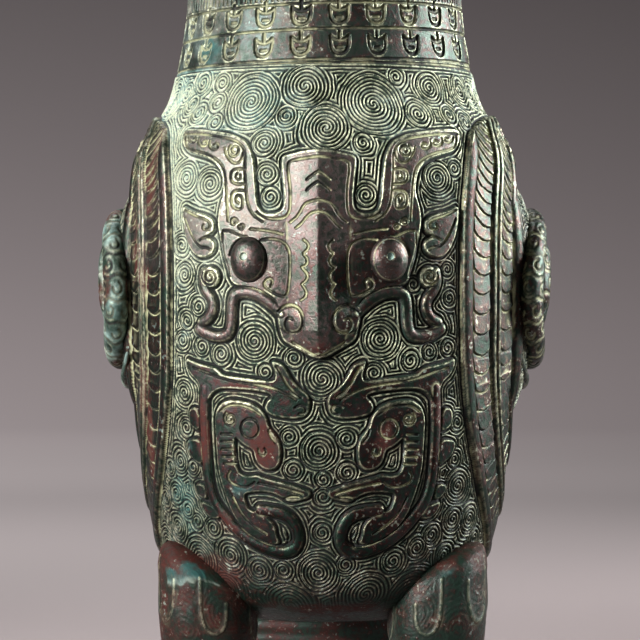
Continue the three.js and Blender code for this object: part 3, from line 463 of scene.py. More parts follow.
def setStudio():
    studioFloor()
    scene = bpy.context.scene
    scene.view_settings.view_transform = "Standard"
    for number, (place, aim, width, height, watts, beam, code) in enumerate(studio["lamps"]):
        lamp = bpy.data.lights.new("softbox%d" % number, "AREA")
        lamp.shape = "RECTANGLE"
        lamp.size, lamp.size_y, lamp.energy = width, height, watts
        lamp.color = tint(code)[:3]
        lamp.spread = math.radians(beam)
        box = bpy.data.objects.new("softbox%d" % number, lamp)
        box.location = place
        box.rotation_euler = (Vector(aim) - Vector(place)).to_track_quat("-Z", "Y").to_euler()
        box.visible_camera = False
        scene.collection.objects.link(box)
    world = bpy.data.worlds.new("studioRoom")
    world.use_nodes = True
    world.node_tree.nodes["Background"].inputs["Color"].default_value = tint(studio["sky"])
    world.node_tree.nodes["Background"].inputs["Strength"].default_value = studio["skyStrength"]
    scene.world = world
    turn = math.radians(studio["turn"])
    right = Vector((math.cos(turn), math.sin(turn), 0))
    aim = Vector((0, studio["axisBack"], studio["eyeHeight"])) + right * studio["aside"]
    lookFrom = aim + Vector((math.sin(turn), -math.cos(turn), 0)) * studio["reach"]
    lens = bpy.data.cameras.new("photoCamera")
    lens.angle = 2 * math.atan(studio["imageMm"] / 2 / studio["reach"])
    lens.clip_start = 0.01
    camera = bpy.data.objects.new("photoCamera", lens)
    camera.location = lookFrom * mm
    camera.rotation_euler = (aim - lookFrom).to_track_quat("-Z", "Y").to_euler()
    scene.collection.objects.link(camera)
    scene.camera = camera


setStudio()
print("studio set")


vessel = {
    "stations": [(34, 46.5), (60, 58), (71.5, 79), (78, 114), (82, 157), (84, 202), (82, 240), (75.4, 258),
                 (67.8, 272), (63.5, 290), (60.8, 308), (59.5, 330)],   # radius and height, as in the frame
    "oval": 80.6 / 84, "axisBack": -4.49, "wallMm": 4, "mouth": 330,
    "frontStep": 0.26, "sideStep": 0.38, "backStep": 0.6, "rowStep": 0.28,   # mm between grid lines
    "sideFrom": 0.9, "backFrom": 2.62, "backSpan": 0.52,   # where the steps change, in radians
    "chart": 82,          # ornament is drawn round a cylinder of this radius
    "collarFrom": 283.2, "dragonBelow": 157.5, "chestTurn": 46.0, "flankTurn": 150.0,
}
bodyLine = splineThrough(vessel["stations"], 4000)
profile = evenly(bodyLine, vessel["rowStep"] * coarse)
wallR, wallZ = profile[:, 0], profile[:, 1]
climb = np.gradient(profile, axis=0)
climb /= np.linalg.norm(climb, axis=1, keepdims=True)
outR, outZ = climb[:, 1], -climb[:, 0]
chart = vessel["chart"]
halfTurn = np.concatenate([
    np.arange(0, vessel["sideFrom"], vessel["frontStep"] * coarse / chart),
    np.arange(vessel["sideFrom"], vessel["backFrom"], vessel["sideStep"] * coarse / chart),
    np.linspace(vessel["backFrom"], math.pi, int(vessel["backSpan"] * chart / vessel["backStep"] / coarse)),
])
turns = np.concatenate([-halfTurn[:0:-1], halfTurn])
us = chart * turns
middle = len(halfTurn) - 1


def bodyRadius(z):
    return np.interp(z, wallZ, wallR)


def onBody(turn, z, lift=0.0):
    # place, right, up and out on the body, turn in radians from the front
    r = bodyRadius(z)
    oval = vessel["oval"]
    out = Vector((math.sin(turn), -math.cos(turn) / oval, 0)).normalized()
    k = int(np.searchsorted(wallZ, z))
    tilt = (out * float(outR[k]) + Vector((0, 0, float(outZ[k])))).normalized()
    right = Vector((0, 0, 1)).cross(tilt).normalized()
    place = Vector((r * math.sin(turn), vessel["axisBack"] - oval * r * math.cos(turn), z)) + tilt * lift
    return place, right, tilt.cross(right).normalized(), tilt


photo = {
    "middle": (324.5, 320),       # the pixel where the body's axis is, at eye height
    "mmPerPixel": 0.44, "spiralMm": 0.415, "plateLift": 1.8, "groundLift": 0.3, "pastMiddle": 8.0,
    "search": (-140, 10, 6000),   # mm in front of the axis and behind it, and steps between
}


def traced(pixels, lift):
    # carries points of the photograph onto the body, lift mm proud: turn from the front, and height
    drawn = np.array(pixels, float)
    turn = math.radians(studio["turn"])
    right, up = np.array([math.cos(turn), math.sin(turn), 0]), np.array([0, 0, 1.0])
    ahead = np.array([-math.sin(turn), math.cos(turn), 0])
    midX, midY = photo["middle"]
    rays = ahead * studio["reach"] / photo["mmPerPixel"] + right * (drawn[:, :1] - midX)
    rays = rays + up * (midY - drawn[:, 1:2])
    rays /= np.linalg.norm(rays, axis=1, keepdims=True)
    near, far, count = photo["search"]
    steps = np.linspace(studio["reach"] + near, studio["reach"] + far, count)
    spots = up * studio["eyeHeight"] - ahead * studio["reach"] + steps[:, None] * rays[:, None]
    r = np.interp(spots[..., 2], bodyLine[:, 1], bodyLine[:, 0])
    inside = (spots[..., 0] / (r + lift)) ** 2 + (spots[..., 1] / (vessel["oval"] * r + lift)) ** 2 < 1
    found = spots[np.arange(len(spots)), inside.argmax(1)]
    radius = np.interp(found[:, 2], bodyLine[:, 1], bodyLine[:, 0]) + lift
    return np.arcsin(np.clip(found[:, 0] / radius, -1, 1)), found[:, 2]


def strokes(drawn, atMiddle):
    # mm round the body and height, to a tenth; a stroke that comes to the middle line ends at atMiddle
    carried = {}
    for name, pixels in drawn.items():
        turn, z = traced(pixels, photo["plateLift"])
        u = np.round(chart * turn, 1)
        carried[name] = np.stack([np.where(u > -0.5, atMiddle, u), np.round(z, 1)], 1)
    return carried


# strokes drawn over the left half of the chest in the photograph, in its pixels
raisedShapes = strokes({
    "face": [(318, 150.5), (305, 151), (290, 154), (280, 156.5), (281, 170), (283, 190), (283.5, 203),
        (281, 210), (275, 213), (268, 213.5), (262, 212), (258, 207), (256, 200), (255, 185), (253.5, 165),
        (252, 155), (247, 143), (240, 138), (230, 134), (215, 132), (200, 130), (181, 130), (182, 151),
        (200, 157), (212, 161), (220, 172), (222, 184), (222, 195), (219, 203), (217, 212), (216, 222),
        (219, 240), (222, 258), (226, 270), (229, 281), (234, 286), (252, 287), (266, 293), (275, 300),
        (278, 307), (276, 315), (278, 328), (281, 340), (290, 346), (302, 352), (312, 358), (318, 361)],
    "ear": [(181, 205), (190, 210.5), (203, 214), (210, 217), (213.5, 222), (213.5, 230), (210, 234.5),
        (204, 235.5), (212, 239.5), (214.5, 245), (213, 252), (207, 257), (199, 258.5), (192, 254.5),
        (186, 244), (182, 229), (181, 216)],
    "crest": [(184, 357), (192, 361), (202, 364.5), (213, 366.5), (218, 371), (222, 374.5), (238, 376.5),
        (256, 379), (273, 381.5), (274.5, 376), (272.5, 368), (270, 361), (277, 361.5), (284, 365.5),
        (289, 375), (295, 384), (303, 390.5), (309, 395), (310, 404), (308, 412), (303, 417), (296, 419),
        (285, 418.5), (275, 417), (267, 414), (263, 408), (266, 401), (271, 397), (268, 393.5), (255, 391),
        (235, 388.8), (222, 388.5), (214, 391), (209, 396), (206, 403), (198, 403), (199, 388), (195, 380),
        (189, 375), (185, 366)],
    "dragon": [(214, 432), (213, 418), (216, 407), (223, 400.5), (232, 399), (245, 401), (255, 405),
        (262, 411), (266, 418), (268, 428), (274, 434), (279, 442), (280.5, 455), (278, 466), (272, 470.5),
        (264, 469.5), (257, 464.5), (253.5, 457), (252, 449.5), (244, 446), (237, 439.5), (233.5, 437),
        (233.5, 455), (236, 468), (240, 474), (247, 475.5), (256, 474), (262, 477), (275, 480), (290, 484),
        (303, 488.5), (311, 491.5), (309, 498), (300, 500.5), (290, 503), (283, 499), (275, 494),
        (262, 491.5), (250, 492.5), (243, 494), (245, 502), (248, 509.5), (258, 512), (268, 518),
        (275, 526), (276, 535), (280, 543), (272, 545), (258, 539), (246, 532), (236, 521), (229, 509),
        (224, 495), (219, 480), (216, 465), (215, 448)],
    "hookA": [(187, 409), (193, 406.5), (197, 410), (199, 431), (192, 429), (187.5, 422)],
    "hookB": [(184.5, 441), (190, 438.5), (197, 438.5), (201, 446), (201, 466), (195, 462), (189, 456),
        (185.5, 448)],
    "hookC": [(192, 486), (198, 482), (204, 486), (206, 500), (198, 497)],
    "hookD": [(198, 500), (207, 503), (215, 508), (221, 514), (217, 519), (209, 518), (202, 511)],
}, photo["pastMiddle"])
bandWidths = {"jaw": 4.7, "curl": 4.4, "body": 4.9}
bandLines = strokes({
    "jaw": [(281, 314), (272, 305), (263, 298.5), (254, 294), (246, 292.3), (239, 292.5), (233, 294.5),
        (230.5, 301), (230, 312), (229.7, 324), (227.5, 333), (222, 336.5), (212, 336.5), (203, 333),
        (197, 328.5)],
    "curl": [(202, 272), (200.5, 282), (204, 291), (210.5, 299), (211.5, 309), (207.5, 318), (200, 322.5)],
    "body": [(203, 388), (202.5, 410), (203, 435), (205, 460), (207, 482), (212, 500), (222, 514),
        (234, 528), (248, 540), (264, 548.5), (281, 553), (293, 550), (298.5, 541), (297, 530), (291, 519),
        (282, 513.5), (270, 511), (259, 510)],
}, 0.0)
raisedBalls = [(-10.9, 176, 5.6, 1.5), (-46.4, 193.9, 4.4, 0.9)]   # nostril and the curl's head
cutLines = strokes({
    "plate": [(318, 158.5), (310, 159), (300, 160), (289, 161.7), (287.6, 166), (288, 175), (290, 190),
        (290, 205), (289, 212), (286, 216.5), (281, 218.7), (272, 219.3), (263, 217.3), (256.5, 212)],
    "chevronA": [(307, 180.5), (312.5, 176), (318, 172.5)],
    "chevronB": [(307, 191), (311.5, 186.5), (318, 182.5)],
    "waveA": [(290, 222.5), (296, 218), (300, 213), (303, 207), (308, 202.5), (318, 200.5)],
    "waveB": [(296, 228), (301, 224.5), (306, 218), (311, 213.5), (318, 212)],
    "scallopA": [(304, 240), (308.5, 244), (308.7, 249), (304, 253)],
    "scallopB": [(304, 254.5), (308, 259), (307, 265), (302, 267)],
    "scallopC": [(303, 268.5), (308, 274), (307, 280), (302, 284)],
    "scallopD": [(303, 285.5), (307, 291), (306, 297), (301, 300)],
    "socketTop": [(222.5, 231), (228, 230.5), (235, 233.5), (241, 236.8), (246, 236.6)],
    "socketSide": [(221.5, 233), (221, 245), (222.8, 257), (226.5, 266), (228.5, 276)],
    "lidLeft": [(241, 238.5), (236, 241.5), (231.5, 247), (228.8, 255)],
    "brow": [(250, 229), (262, 230.3), (272, 231.5), (282, 234.5)],
    "white": [(260, 240), (270, 238.7), (278, 240), (285, 243.5), (289, 250), (290, 262), (289, 280),
        (288, 291), (285, 296.5), (280, 296), (272, 292.5), (265, 288), (263, 283.5), (265.5, 279.5),
        (270, 278), (272.5, 282), (270, 286.5)],
    "nostril": [(278, 311), (283, 306), (290, 304), (297, 306), (302, 311.5), (304, 318.5), (303, 326.5),
        (299, 331.5), (293, 333), (288, 331), (285.5, 325.5), (286, 320), (289, 317), (293, 319.5)],
    "tip": [(292, 342), (303, 348), (312, 353.5), (318, 356)],
    "hornRim": [(183, 135.5), (200, 135.5), (215, 137.5), (229, 139.5), (238, 143.5), (243, 149),
        (244.7, 156), (244.2, 165), (244.2, 178), (245, 186), (246, 200), (249, 210), (254, 216.5),
        (262, 221.5)],
    "hornA": [(187, 138.5), (187.5, 141.5), (190.5, 144), (194, 143.5), (195.5, 141), (194.3, 138.7),
        (192.3, 140)],
    "hornB": [(197.8, 139.5), (196.8, 143.5), (199.8, 147), (204.3, 147.3), (206.5, 144), (204.5, 141.2),
        (201.8, 143)],
    "hornC": [(209, 141.5), (207.8, 146.5), (211, 150), (215.8, 150.2), (217.8, 146.5), (215.2, 143.7),
        (212.6, 145.5)],
    "hornTail": [(223.5, 148.5), (224.5, 153.5), (228, 159.5), (232, 163.3), (237.2, 163.6), (241.3, 159.5),
        (242.3, 153)],
    "hornD": [(244, 169.5), (234.5, 169), (230.7, 172), (229.8, 177), (231.2, 182.3), (235.5, 184.3),
        (244, 184.3)],
    "hornDin": [(236.8, 173.5), (234.8, 177.3), (237.5, 180.2), (240.3, 178.5), (239.8, 175.5)],
    "hornE": [(244, 190.5), (235.3, 190.5), (231.3, 193.3), (230.2, 199), (231.2, 206), (236, 209.6),
        (241.2, 209), (242, 203), (241.3, 197), (237.6, 194.6), (235, 197.5), (235.3, 201.8), (238, 203.3)],
    "hornUnder": [(184.5, 136), (184.5, 148), (190, 151.2), (205.7, 154.4), (216.5, 160.3), (222.7, 168),
        (225.2, 179.5), (226.3, 205), (227, 221)],
    "earA": [(184, 210.5), (193, 215.5), (202, 218.5), (208.5, 221.5), (209, 228), (205, 230.6),
        (201, 228.5), (202.5, 225)],
    "earB": [(184, 219), (188.5, 231), (194, 241.5), (200, 247.5), (206, 247.5), (209.5, 250)],
    "earLap": [(199, 240), (205, 236.5), (212, 238)],
    "dragonBrow": [(219, 411), (226, 405.5), (238, 404.5), (250, 408.5), (259, 414.5)],
    "beakCurl": [(257.5, 449), (258.5, 454.5), (263, 456), (266, 452.5), (264, 448.5)],
    "beakMouth": [(268, 430), (270, 437), (275, 443)],
    "legLine": [(258, 483), (272, 485.5), (288, 489.5), (302, 494)],
    "claw": [(283, 499), (290, 496.5), (298, 497)],
    "ribA": [(220.5, 434), (231, 434)],
    "ribB": [(220.5, 441.5), (231.5, 441.5)],
    "ribC": [(221, 449), (232, 449)],
    "ribD": [(222, 456.5), (233, 456.5)],
    "ribE": [(223, 463.5), (234, 463.5)],
    "throat": [(229, 471), (226, 476), (229.5, 482.5), (237, 486), (247, 487.5), (254, 482)],
    "bodyRib": [(232, 497), (240, 513), (252, 525), (266, 533.5)],
    "crestEye": [(295, 407.5), (300, 404.5), (306, 408), (305, 414), (299, 414)],
    "crestLine": [(192, 367.5), (203, 371.5), (216, 376.5), (234, 381.5), (256, 384.8), (272, 388),
        (285, 393), (296, 400)],
    "crestArm": [(276, 367), (281, 374), (286, 384), (293, 392), (301, 397)],
    "tailLine": [(286, 534), (287.5, 541), (283, 546)],
}, 0.0)
cutSpirals = [   # place, outer and inner radius, turns, start
    (-29.8, 131, 4.1, 4.1, 1, 0), (-38.9, 134.8, 3.1, 1.0, 1.6, 2.2), (-46.4, 193.9, 3.7, 0.9, 1.8, 2.6),
    (-36.6, 246.3, 3.1, 0.9, 1.35, 2.4), (-35.2, 216.6, 1.7, 0.5, 1.3, 0), (-31.7, 214.7, 1.3, 0.5, 1.2, 3),
]
spiralSpots = [   # large spirals of the ground: place and radius, in pixels
    (251, 102, 28), (305, 86, 21), (326, 128, 23), (373, 104, 31), (264, 143, 12), (199, 113, 9),
    (222, 83, 8), (286, 116, 7), (396, 77, 7), (429, 88, 15), (418, 114, 13), (459, 89, 12),
    (449, 115, 7), (363, 143, 9), (186, 178, 15), (270, 197, 9), (366, 195, 10), (437, 178, 16),
    (184, 275, 11), (198, 307, 8.5), (182, 340, 9), (254, 341, 18), (380, 339, 17), (322, 379, 21),
    (374, 373, 9), (410, 361, 9), (429, 352, 7), (447, 348, 8), (447, 269, 6), (449, 298, 6),
    (184, 393, 11), (319, 451, 18), (289, 437, 8), (293, 470, 9), (347, 439, 10), (347, 473, 9),
    (323, 497, 8), (322, 533, 8), (318, 573, 18), (230, 555, 18), (283, 570, 8), (180, 461, 11),
    (176, 494, 10), (178, 526, 12), (197, 521, 6), (453, 519, 11), (417, 548, 9), (393, 561, 12),
]


def spiralLine(u, z, start, end, loops, turned=0.0):
    a = np.linspace(0, 2 * math.pi * loops, int(18 * loops) + 2)
    r = np.linspace(start, end, len(a))
    return np.stack([u + r * np.cos(a + turned), z + r * np.sin(a + turned)], 1)


chest = {"maskRise": 1.45, "dragonRise": 1.35, "bandRise": 1.95, "bevel": 0.4, "cutDepth": 0.75,
         "cutReach": 2.0, "reach": 15, "halfWidth": 78}
noseShape = [   # height, half width, rise
    (157, 3, 0), (160, 6, 2.2), (165, 9.5, 5.0), (172, 11.5, 6.4), (180, 12, 6.2), (195, 12.2, 5.2),
    (215, 12.4, 4.3), (232, 12.6, 3.5), (243, 12.6, 3.0), (247, 12.6, 2.6), (250, 12, 0),
]


def chestRelief(lu, zs):
    # left half of the mask and dragons: how high they stand, how far off they and the cut lines are
    rise = np.zeros((len(zs), len(lu)))
    away = np.full_like(rise, chest["reach"])
    cut = np.full_like(rise, 9.0)
    for name, points in raisedShapes.items():
        d = inset(lu, zs, points, chest["reach"])
        level = chest["maskRise"] if name in ("face", "ear") else chest["dragonRise"]
        rise = np.maximum(rise, level * smooth(-0.1, chest["bevel"], d))
        away = np.minimum(away, np.maximum(-d, 0))
    for name, points in bandLines.items():
        width = bandWidths[name]
        line = np.full_like(rise, chest["reach"])
        nearLine(line, lu, zs, softened(points), chest["reach"])
        d = width / 2 - line
        bow = np.sqrt(np.clip(1 - (1 - np.clip(2 * d / width, 0, 1)) ** 2, 0, 1))
        rise = np.maximum(rise, chest["bandRise"] * bow ** 0.8)
        away = np.minimum(away, np.maximum(-d, 0))
    z, u = zs[:, None], lu[None, :]
    for u0, z0, radius, level in raisedBalls:
        rho = np.hypot(u - u0, z - z0)
        ball = np.sqrt(np.clip(1 - (rho / radius) ** 2, 0, 1))
        rise = np.where(rho < radius, np.maximum(rise, chest["maskRise"] * 0.7) + level * ball, rise)
        away = np.minimum(away, np.maximum(rho - radius, 0))
    heights, halves, rises = np.array(noseShape, float).T
    half = np.interp(zs, heights, halves)[:, None]
    roof = np.clip(1.03 - np.sqrt((u / half) ** 2 + 0.002), 0, 1)
    rise = rise + np.interp(zs, heights, rises, left=0, right=0)[:, None] * roof * smooth(0.3, 1.5, rise)
    for points in cutLines.values():
        nearLine(cut, lu, zs, softened(points), chest["cutReach"])
    for u0, z0, start, end, loops, turned in cutSpirals:
        nearLine(cut, lu, zs, spiralLine(u0, z0, start, end, loops, turned), chest["cutReach"])
    return rise, away, cut


wing = {
    "front": [(4, 265), (-27, 262.5), (-46, 253), (-55, 226), (-56, 188), (-51, 140), (-36, 102), (-13, 76),
              (6, 70)],
    "rear": [(6, 70), (34, 81), (60, 91), (66.5, 130), (69, 175), (62, 226), (40, 254), (4, 265)],
    "lead": [(-16, 292), (-34, 272), (-47, 250), (-55, 226), (-56, 188), (-51, 140), (-36, 102), (-13, 76),
             (6, 70)],
    "plate": 1.2, "dome": 8.2, "domeReach": (54, 45), "domeTurn": 1.64, "domeHeight": 189,
    "domeFrom": (1.22, 1.44), "edge": (0, 6.4, 1.6),
    "ribs": [(19.0, 22.7, 1.9), (22.9, 26.6, 1.9), (39.6, 45.0, 1.8)],
    "scaleBands": [(6.4, 18.4), (27.2, 39.0)], "scaleLength": (5.0, 8.8), "lengthFrom": (60, 125),
    "scaleRise": 1.0, "scaleSag": 0.3, "scaleSlant": 0.45, "slantTo": (125, 75), "lapLine": 0.4,
    "feathers": [(1.5, 8.0, 1.5), (9.2, 15.7, 1.6), (16.9, 23.4, 1.7)],
    "barbCut": 0.16, "barbStep": 2.4, "barbSlope": 0.6, "leadMore": 18, "reach": 90,
    "skew": math.radians(2.0),   # the casting sits a little round to the left
}


def wingLine(points):
    p = np.array(points, float)
    r = bodyRadius(p[:, 1])
    return np.stack([chart * np.arccos(np.clip(-p[:, 0] / (vessel["oval"] * r), -1, 1)), p[:, 1]], 1)


def bow(d, low, high, level):
    return level * np.sqrt(np.clip(1 - ((d - (low + high) / 2) / ((high - low) / 2)) ** 2, 0, 1))


def coilDome(turn, z):
    # the wing swells into a low dome under the coil
    over = z - wing["domeHeight"]
    below, above = wing["domeReach"]
    far = np.hypot(chart * (turn - wing["domeTurn"]) / above, over / np.where(over < 0, below, above))
    return wing["dome"] * np.clip(1 - far ** 2, 0, 1) ** 0.8


def wingRelief(wu, zs):
    front, rear = softened(wingLine(wing["front"])), softened(wingLine(wing["rear"]))
    d = inset(wu, zs, np.vstack([front, rear[1:-1]]), 16)
    f, g = (np.full(d.shape, float(wing["reach"])) for _ in range(2))   # from the leading and rear edge
    run = np.zeros(d.shape)
    nearLine(f, wu, zs, softened(wingLine(wing["lead"])), wing["reach"], run)
    nearLine(g, wu, zs, rear, wing["reach"])
    inside = d > -0.2
    leading = f < g + wing["leadMore"]
    rise = wing["plate"] * smooth(-0.2, 0.9, d)
    rise += np.where(leading, bow(f, *wing["edge"]), 0)
    for rib in wing["ribs"]:
        rise += np.where(leading, bow(f, *rib), 0)
    barb = wing["barbCut"] * np.cos(2 * math.pi * (zs[:, None] + wing["barbSlope"] * g) / wing["barbStep"])
    for feather in wing["feathers"]:
        rise += np.where(leading, 0, bow(g, *feather) + barb * (bow(g, *feather) > 0.4))
    way = np.arange(0, 420.0)
    length = mixed(*wing["scaleLength"], smooth(*wing["lengthFrom"], way))
    count = np.interp(run, way, np.cumsum(1 / length))
    for low, high in wing["scaleBands"]:
        v = np.clip((2 * f - low - high) / (high - low), -1.2, 1.2)
        slant = wing["scaleSlant"] * v * smooth(*wing["slantTo"], run)
        lap, tile = laps(count - wing["scaleSag"] * (1 - v * v) - slant)
        lap = lap - wing["lapLine"] * hump(tile, 0.97, 0.05)
        rise += np.where(leading, wing["scaleRise"] * lap * smooth(1.0, 0.9, np.abs(v)), 0)
    panel = np.where(leading, f - wing["ribs"][-1][1], g - wing["feathers"][-1][1])
    cover = np.where(inside, np.where(panel > 0, 0.0, 1.0), 0.0)
    away = np.where(inside, np.maximum(panel, 0), np.maximum(-d, 0))
    behind = smooth(*wing["domeFrom"], wu[None, :] / chart)   # the dome starts behind the scale bands
    rise += coilDome(wu[None, :] / chart, zs[:, None]) * smooth(0, 12, d) * behind
    return np.where(inside, rise, 0), cover, away, inside


collar = {
    "lines": [(283.9, 0.7), (285.3, 0.6), (298.4, 0.8), (309.3, 0.8), (326.6, 0.8)], "tilt": 0.03,
    "motifs": 24, "rows": [(291.3, 64), (304.2, 61)], "rowReach": 11, "stampHalf": 8, "stampStep": 0.15,
    "edge": (282.8, 283.8), "threadsTo": 283.0, "raised": 0.6, "tulipCut": 1.0, "bowlCut": 0.4,
    "fringe": (311, 325.4, 2.55), "fringeRadius": 60, "fringeCut": 0.6,
    "tulip": [[(-3.9, 3.5), (-3.8, -0.4), (-2.7, -2.9), (0, -4.0), (2.7, -2.9), (3.8, -0.4), (3.9, 3.5)],
              [(-3.9, 3.7), (-2.4, 2.3), (0, 1.8), (2.4, 2.3), (3.9, 3.7)],
              [(0, 1.8), (0, 6.2)], [(-1.2, -1.0), (1.2, -1.0)]],
}


def collarCuts(zs):
    # ring lines, the two rows of tulip scales and the fringe under the mouth
    x = bodyRadius(zs)[:, None] * np.sin(turns)[None, :]
    z = zs[:, None] - collar["tilt"] * x * smooth(276, 290, zs)[:, None]
    depth = np.zeros(z.shape)
    for line, deep in collar["lines"]:
        depth = np.maximum(depth, deep * (1 - smooth(0.2, 0.8, np.abs(z - line))))
    step = 2 * math.pi / collar["motifs"]
    half, grain = collar["stampHalf"], collar["stampStep"]
    fine = np.arange(-half, half + 0.01, grain)
    stamp = np.full((len(fine), len(fine)), 9.0)
    for line in collar["tulip"]:
        nearLine(stamp, fine, fine, softened(line, rounds=1), 3)
    bowl = within(fine, fine, collar["tulip"][0] + collar["tulip"][1][::-1])
    sunk = np.maximum(collar["tulipCut"] * (1 - smooth(0.35, 1.15, stamp)), collar["bowlCut"] * bowl)
    for row, radius in collar["rows"]:
        local = (np.mod(turns, step) - step / 2) * radius
        rows = np.abs(zs - row) < collar["rowReach"]
        ui, zi = (np.clip(np.round((at + half) / grain), 0, len(fine) - 1).astype(int)
                  for at in (np.broadcast_to(local, z[rows].shape), z[rows] - row))
        depth[rows] = np.maximum(depth[rows], sunk[zi, ui])
    low, high, pitch = collar["fringe"]
    fringe = 0.5 + 0.5 * np.cos(2 * math.pi * turns * collar["fringeRadius"] / pitch)
    hung = smooth(low - 0.5, low + 0.5, z) * smooth(high + 0.5, high - 0.5, z)
    return np.maximum(depth, collar["fringeCut"] * hung * smooth(0.55, 0.9, fringe)[None, :])


ground = {
    "pitch": 1.5, "depth": 0.56, "seed": 11, "scatterRadius": (3.0, 9.5), "scatterTries": 2600,
    "between": (54, 281), "apart": 0.9, "inset": 0.4, "wobble": (0.46, 0.2), "wobbleMm": (7, 2.6),
    "twoArmsFrom": 8, "lineReach": 16, "crisp": 1.25, "wornTo": 0.8, "wornBy": 0.25, "fadeIn": (52, 68),
    "haunch": (0.8, 0.42), "haunchBelow": (88, 66), "haunchPlain": 0.85,   # plain behind the thighs
    "grain": 0.06, "uneven": 0.16,
}


def scatterSpirals(zs, blocked):
    # the large spirals of the chest, then others of mixed size all round that touch but don't cross
    rng = np.random.default_rng(ground["seed"])
    spots = np.array(spiralSpots)
    spotTurns, heights = traced(spots[:, :2], photo["groundLift"])
    discs = [(math.radians(round(math.degrees(t), 1)), round(z, 1), round(r * photo["spiralMm"], 1))
             for t, z, r in zip(spotTurns.tolist(), heights.tolist(), spots[:, 2].tolist())]
    small, large = ground["scatterRadius"]
    for _ in range(ground["scatterTries"]):
        turn, z = rng.uniform(-math.pi, math.pi), rng.uniform(*ground["between"])
        row, col = np.searchsorted(zs, z) - 1, np.searchsorted(turns, turn) - 1
        room = min(float(blocked[row, col]), large)
        r0 = bodyRadius(z)
        for turn1, z1, r1 in discs:
            swing = (turn - turn1 + math.pi) % (2 * math.pi) - math.pi
            room = min(room, math.hypot(r0 * swing, z - z1) - r1 - ground["apart"])
            if room < small:
                break
        else:
            discs.append((turn, z, room - ground["inset"]))
    return discs


def groundThreads(zs, away):
    # thread relief: spirals, with lines between them that follow whatever they run along
    pitch = ground["pitch"]
    (slow, quick), (wide, fine) = ground["wobble"], ground["wobbleMm"]
    wobble = slow * cloud(us, zs, wide, 3) + quick * cloud(us, zs, fine, 4)
    gap = away.copy()
    threads = np.zeros(away.shape)
    discs = scatterSpirals(zs, away)
    owner = np.zeros(away.shape, bool)
    for number, (turn, z0, radius) in enumerate(discs):
        r0 = bodyRadius(z0)
        reach = radius + ground["lineReach"]
        a, b = np.searchsorted(turns, [turn - reach / r0, turn + reach / r0])
        c, d = np.searchsorted(zs, [z0 - reach, z0 + reach])
        x = r0 * (turns[None, a:b] - turn)
        y = zs[c:d, None] - z0
        rho = np.hypot(x, y) + wobble[c:d, a:b] * 0.6
        inside = rho < radius
        way = 1 if number % 2 else -1
        arms = 2 if radius > ground["twoArmsFrom"] else 1
        phase = 2 * math.pi * (rho - radius) / pitch + arms * way * np.arctan2(y, x)
        swirl = np.cos(phase) * smooth(0.3, 1.0, rho)
        threads[c:d, a:b] = np.where(inside & ~owner[c:d, a:b], swirl, threads[c:d, a:b])
        owner[c:d, a:b] |= inside
        gap[c:d, a:b] = np.minimum(gap[c:d, a:b], np.maximum(rho - radius, 0))
    lines = np.cos(2 * math.pi * (gap + wobble * smooth(0.5, 3, gap)) / pitch)
    threads = np.where(owner, threads, lines)
    print("ground spirals:", len(discs))
    return np.tanh(ground["crisp"] * threads) / math.tanh(ground["crisp"])


stains = {   # turn in degrees, height, spread across and up in mm, strength
    "jade": [
        (-48, 291, 15, 9, 0.9), (-52, 270, 13, 12, 0.8), (-40, 262, 9, 8, 0.4), (-50, 100, 14, 28, 0.9),
        (-46, 88, 12, 9, 0.6), (-24, 107, 9, 7, 0.8), (-42, 122, 8, 12, 0.6), (-30, 172, 8, 6, 0.5),
        (10, 80, 14, 10, 0.5), (150, 200, 30, 30, 0.5), (-120, 90, 25, 25, 0.6), (48, 84, 9, 9, 0.5),
        (-70, 130, 10, 40, 0.3), (26, 286, 9, 5, 0.3), (-100, 215, 14, 12, 0.6)],
    "rust": [
        (0, 54, 75, 9, 0.8), (-42, 70, 26, 9, 1.3), (-62, 196, 6, 14, 1.0), (-60, 238, 9, 24, 1.1),
        (-46, 250, 7, 6, 0.9), (-33, 151, 12, 5, 0.8), (-37, 128, 6, 20, 1.2), (-17, 124, 10, 13, 1.3),
        (-25, 148, 14, 5, 0.9), (-30, 93, 12, 9, 0.9), (-9, 142, 11, 9, 0.7), (0, 166, 7, 8, 0.8),
        (5, 230, 5, 10, 0.6), (20, 128, 9, 12, 0.8), (-50, 70, 14, 7, 0.9), (30, 292, 20, 7, 0.6),
        (12, 281, 8, 5, 0.6), (-66, 135, 9, 45, 1.0), (-70, 205, 10, 30, 0.9), (140, 150, 30, 30, 0.6),
        (-140, 230, 20, 20, 0.6), (58, 110, 10, 26, 0.7), (35, 205, 9, 12, 0.7), (-12, 215, 7, 12, 0.5),
        (38, 135, 6, 18, 0.7)],
}


def stainLayer(kind, zs):
    layer = np.zeros((len(zs), len(us)))
    for turn, z0, across, up, strength in stains[kind]:
        swing = np.mod(turns - math.radians(turn) + math.pi, 2 * math.pi) - math.pi
        spot = np.exp(-((chart * swing)[None, :] / across) ** 2 - ((zs[:, None] - z0) / up) ** 2)
        layer = np.maximum(layer, strength * spot)
    return layer


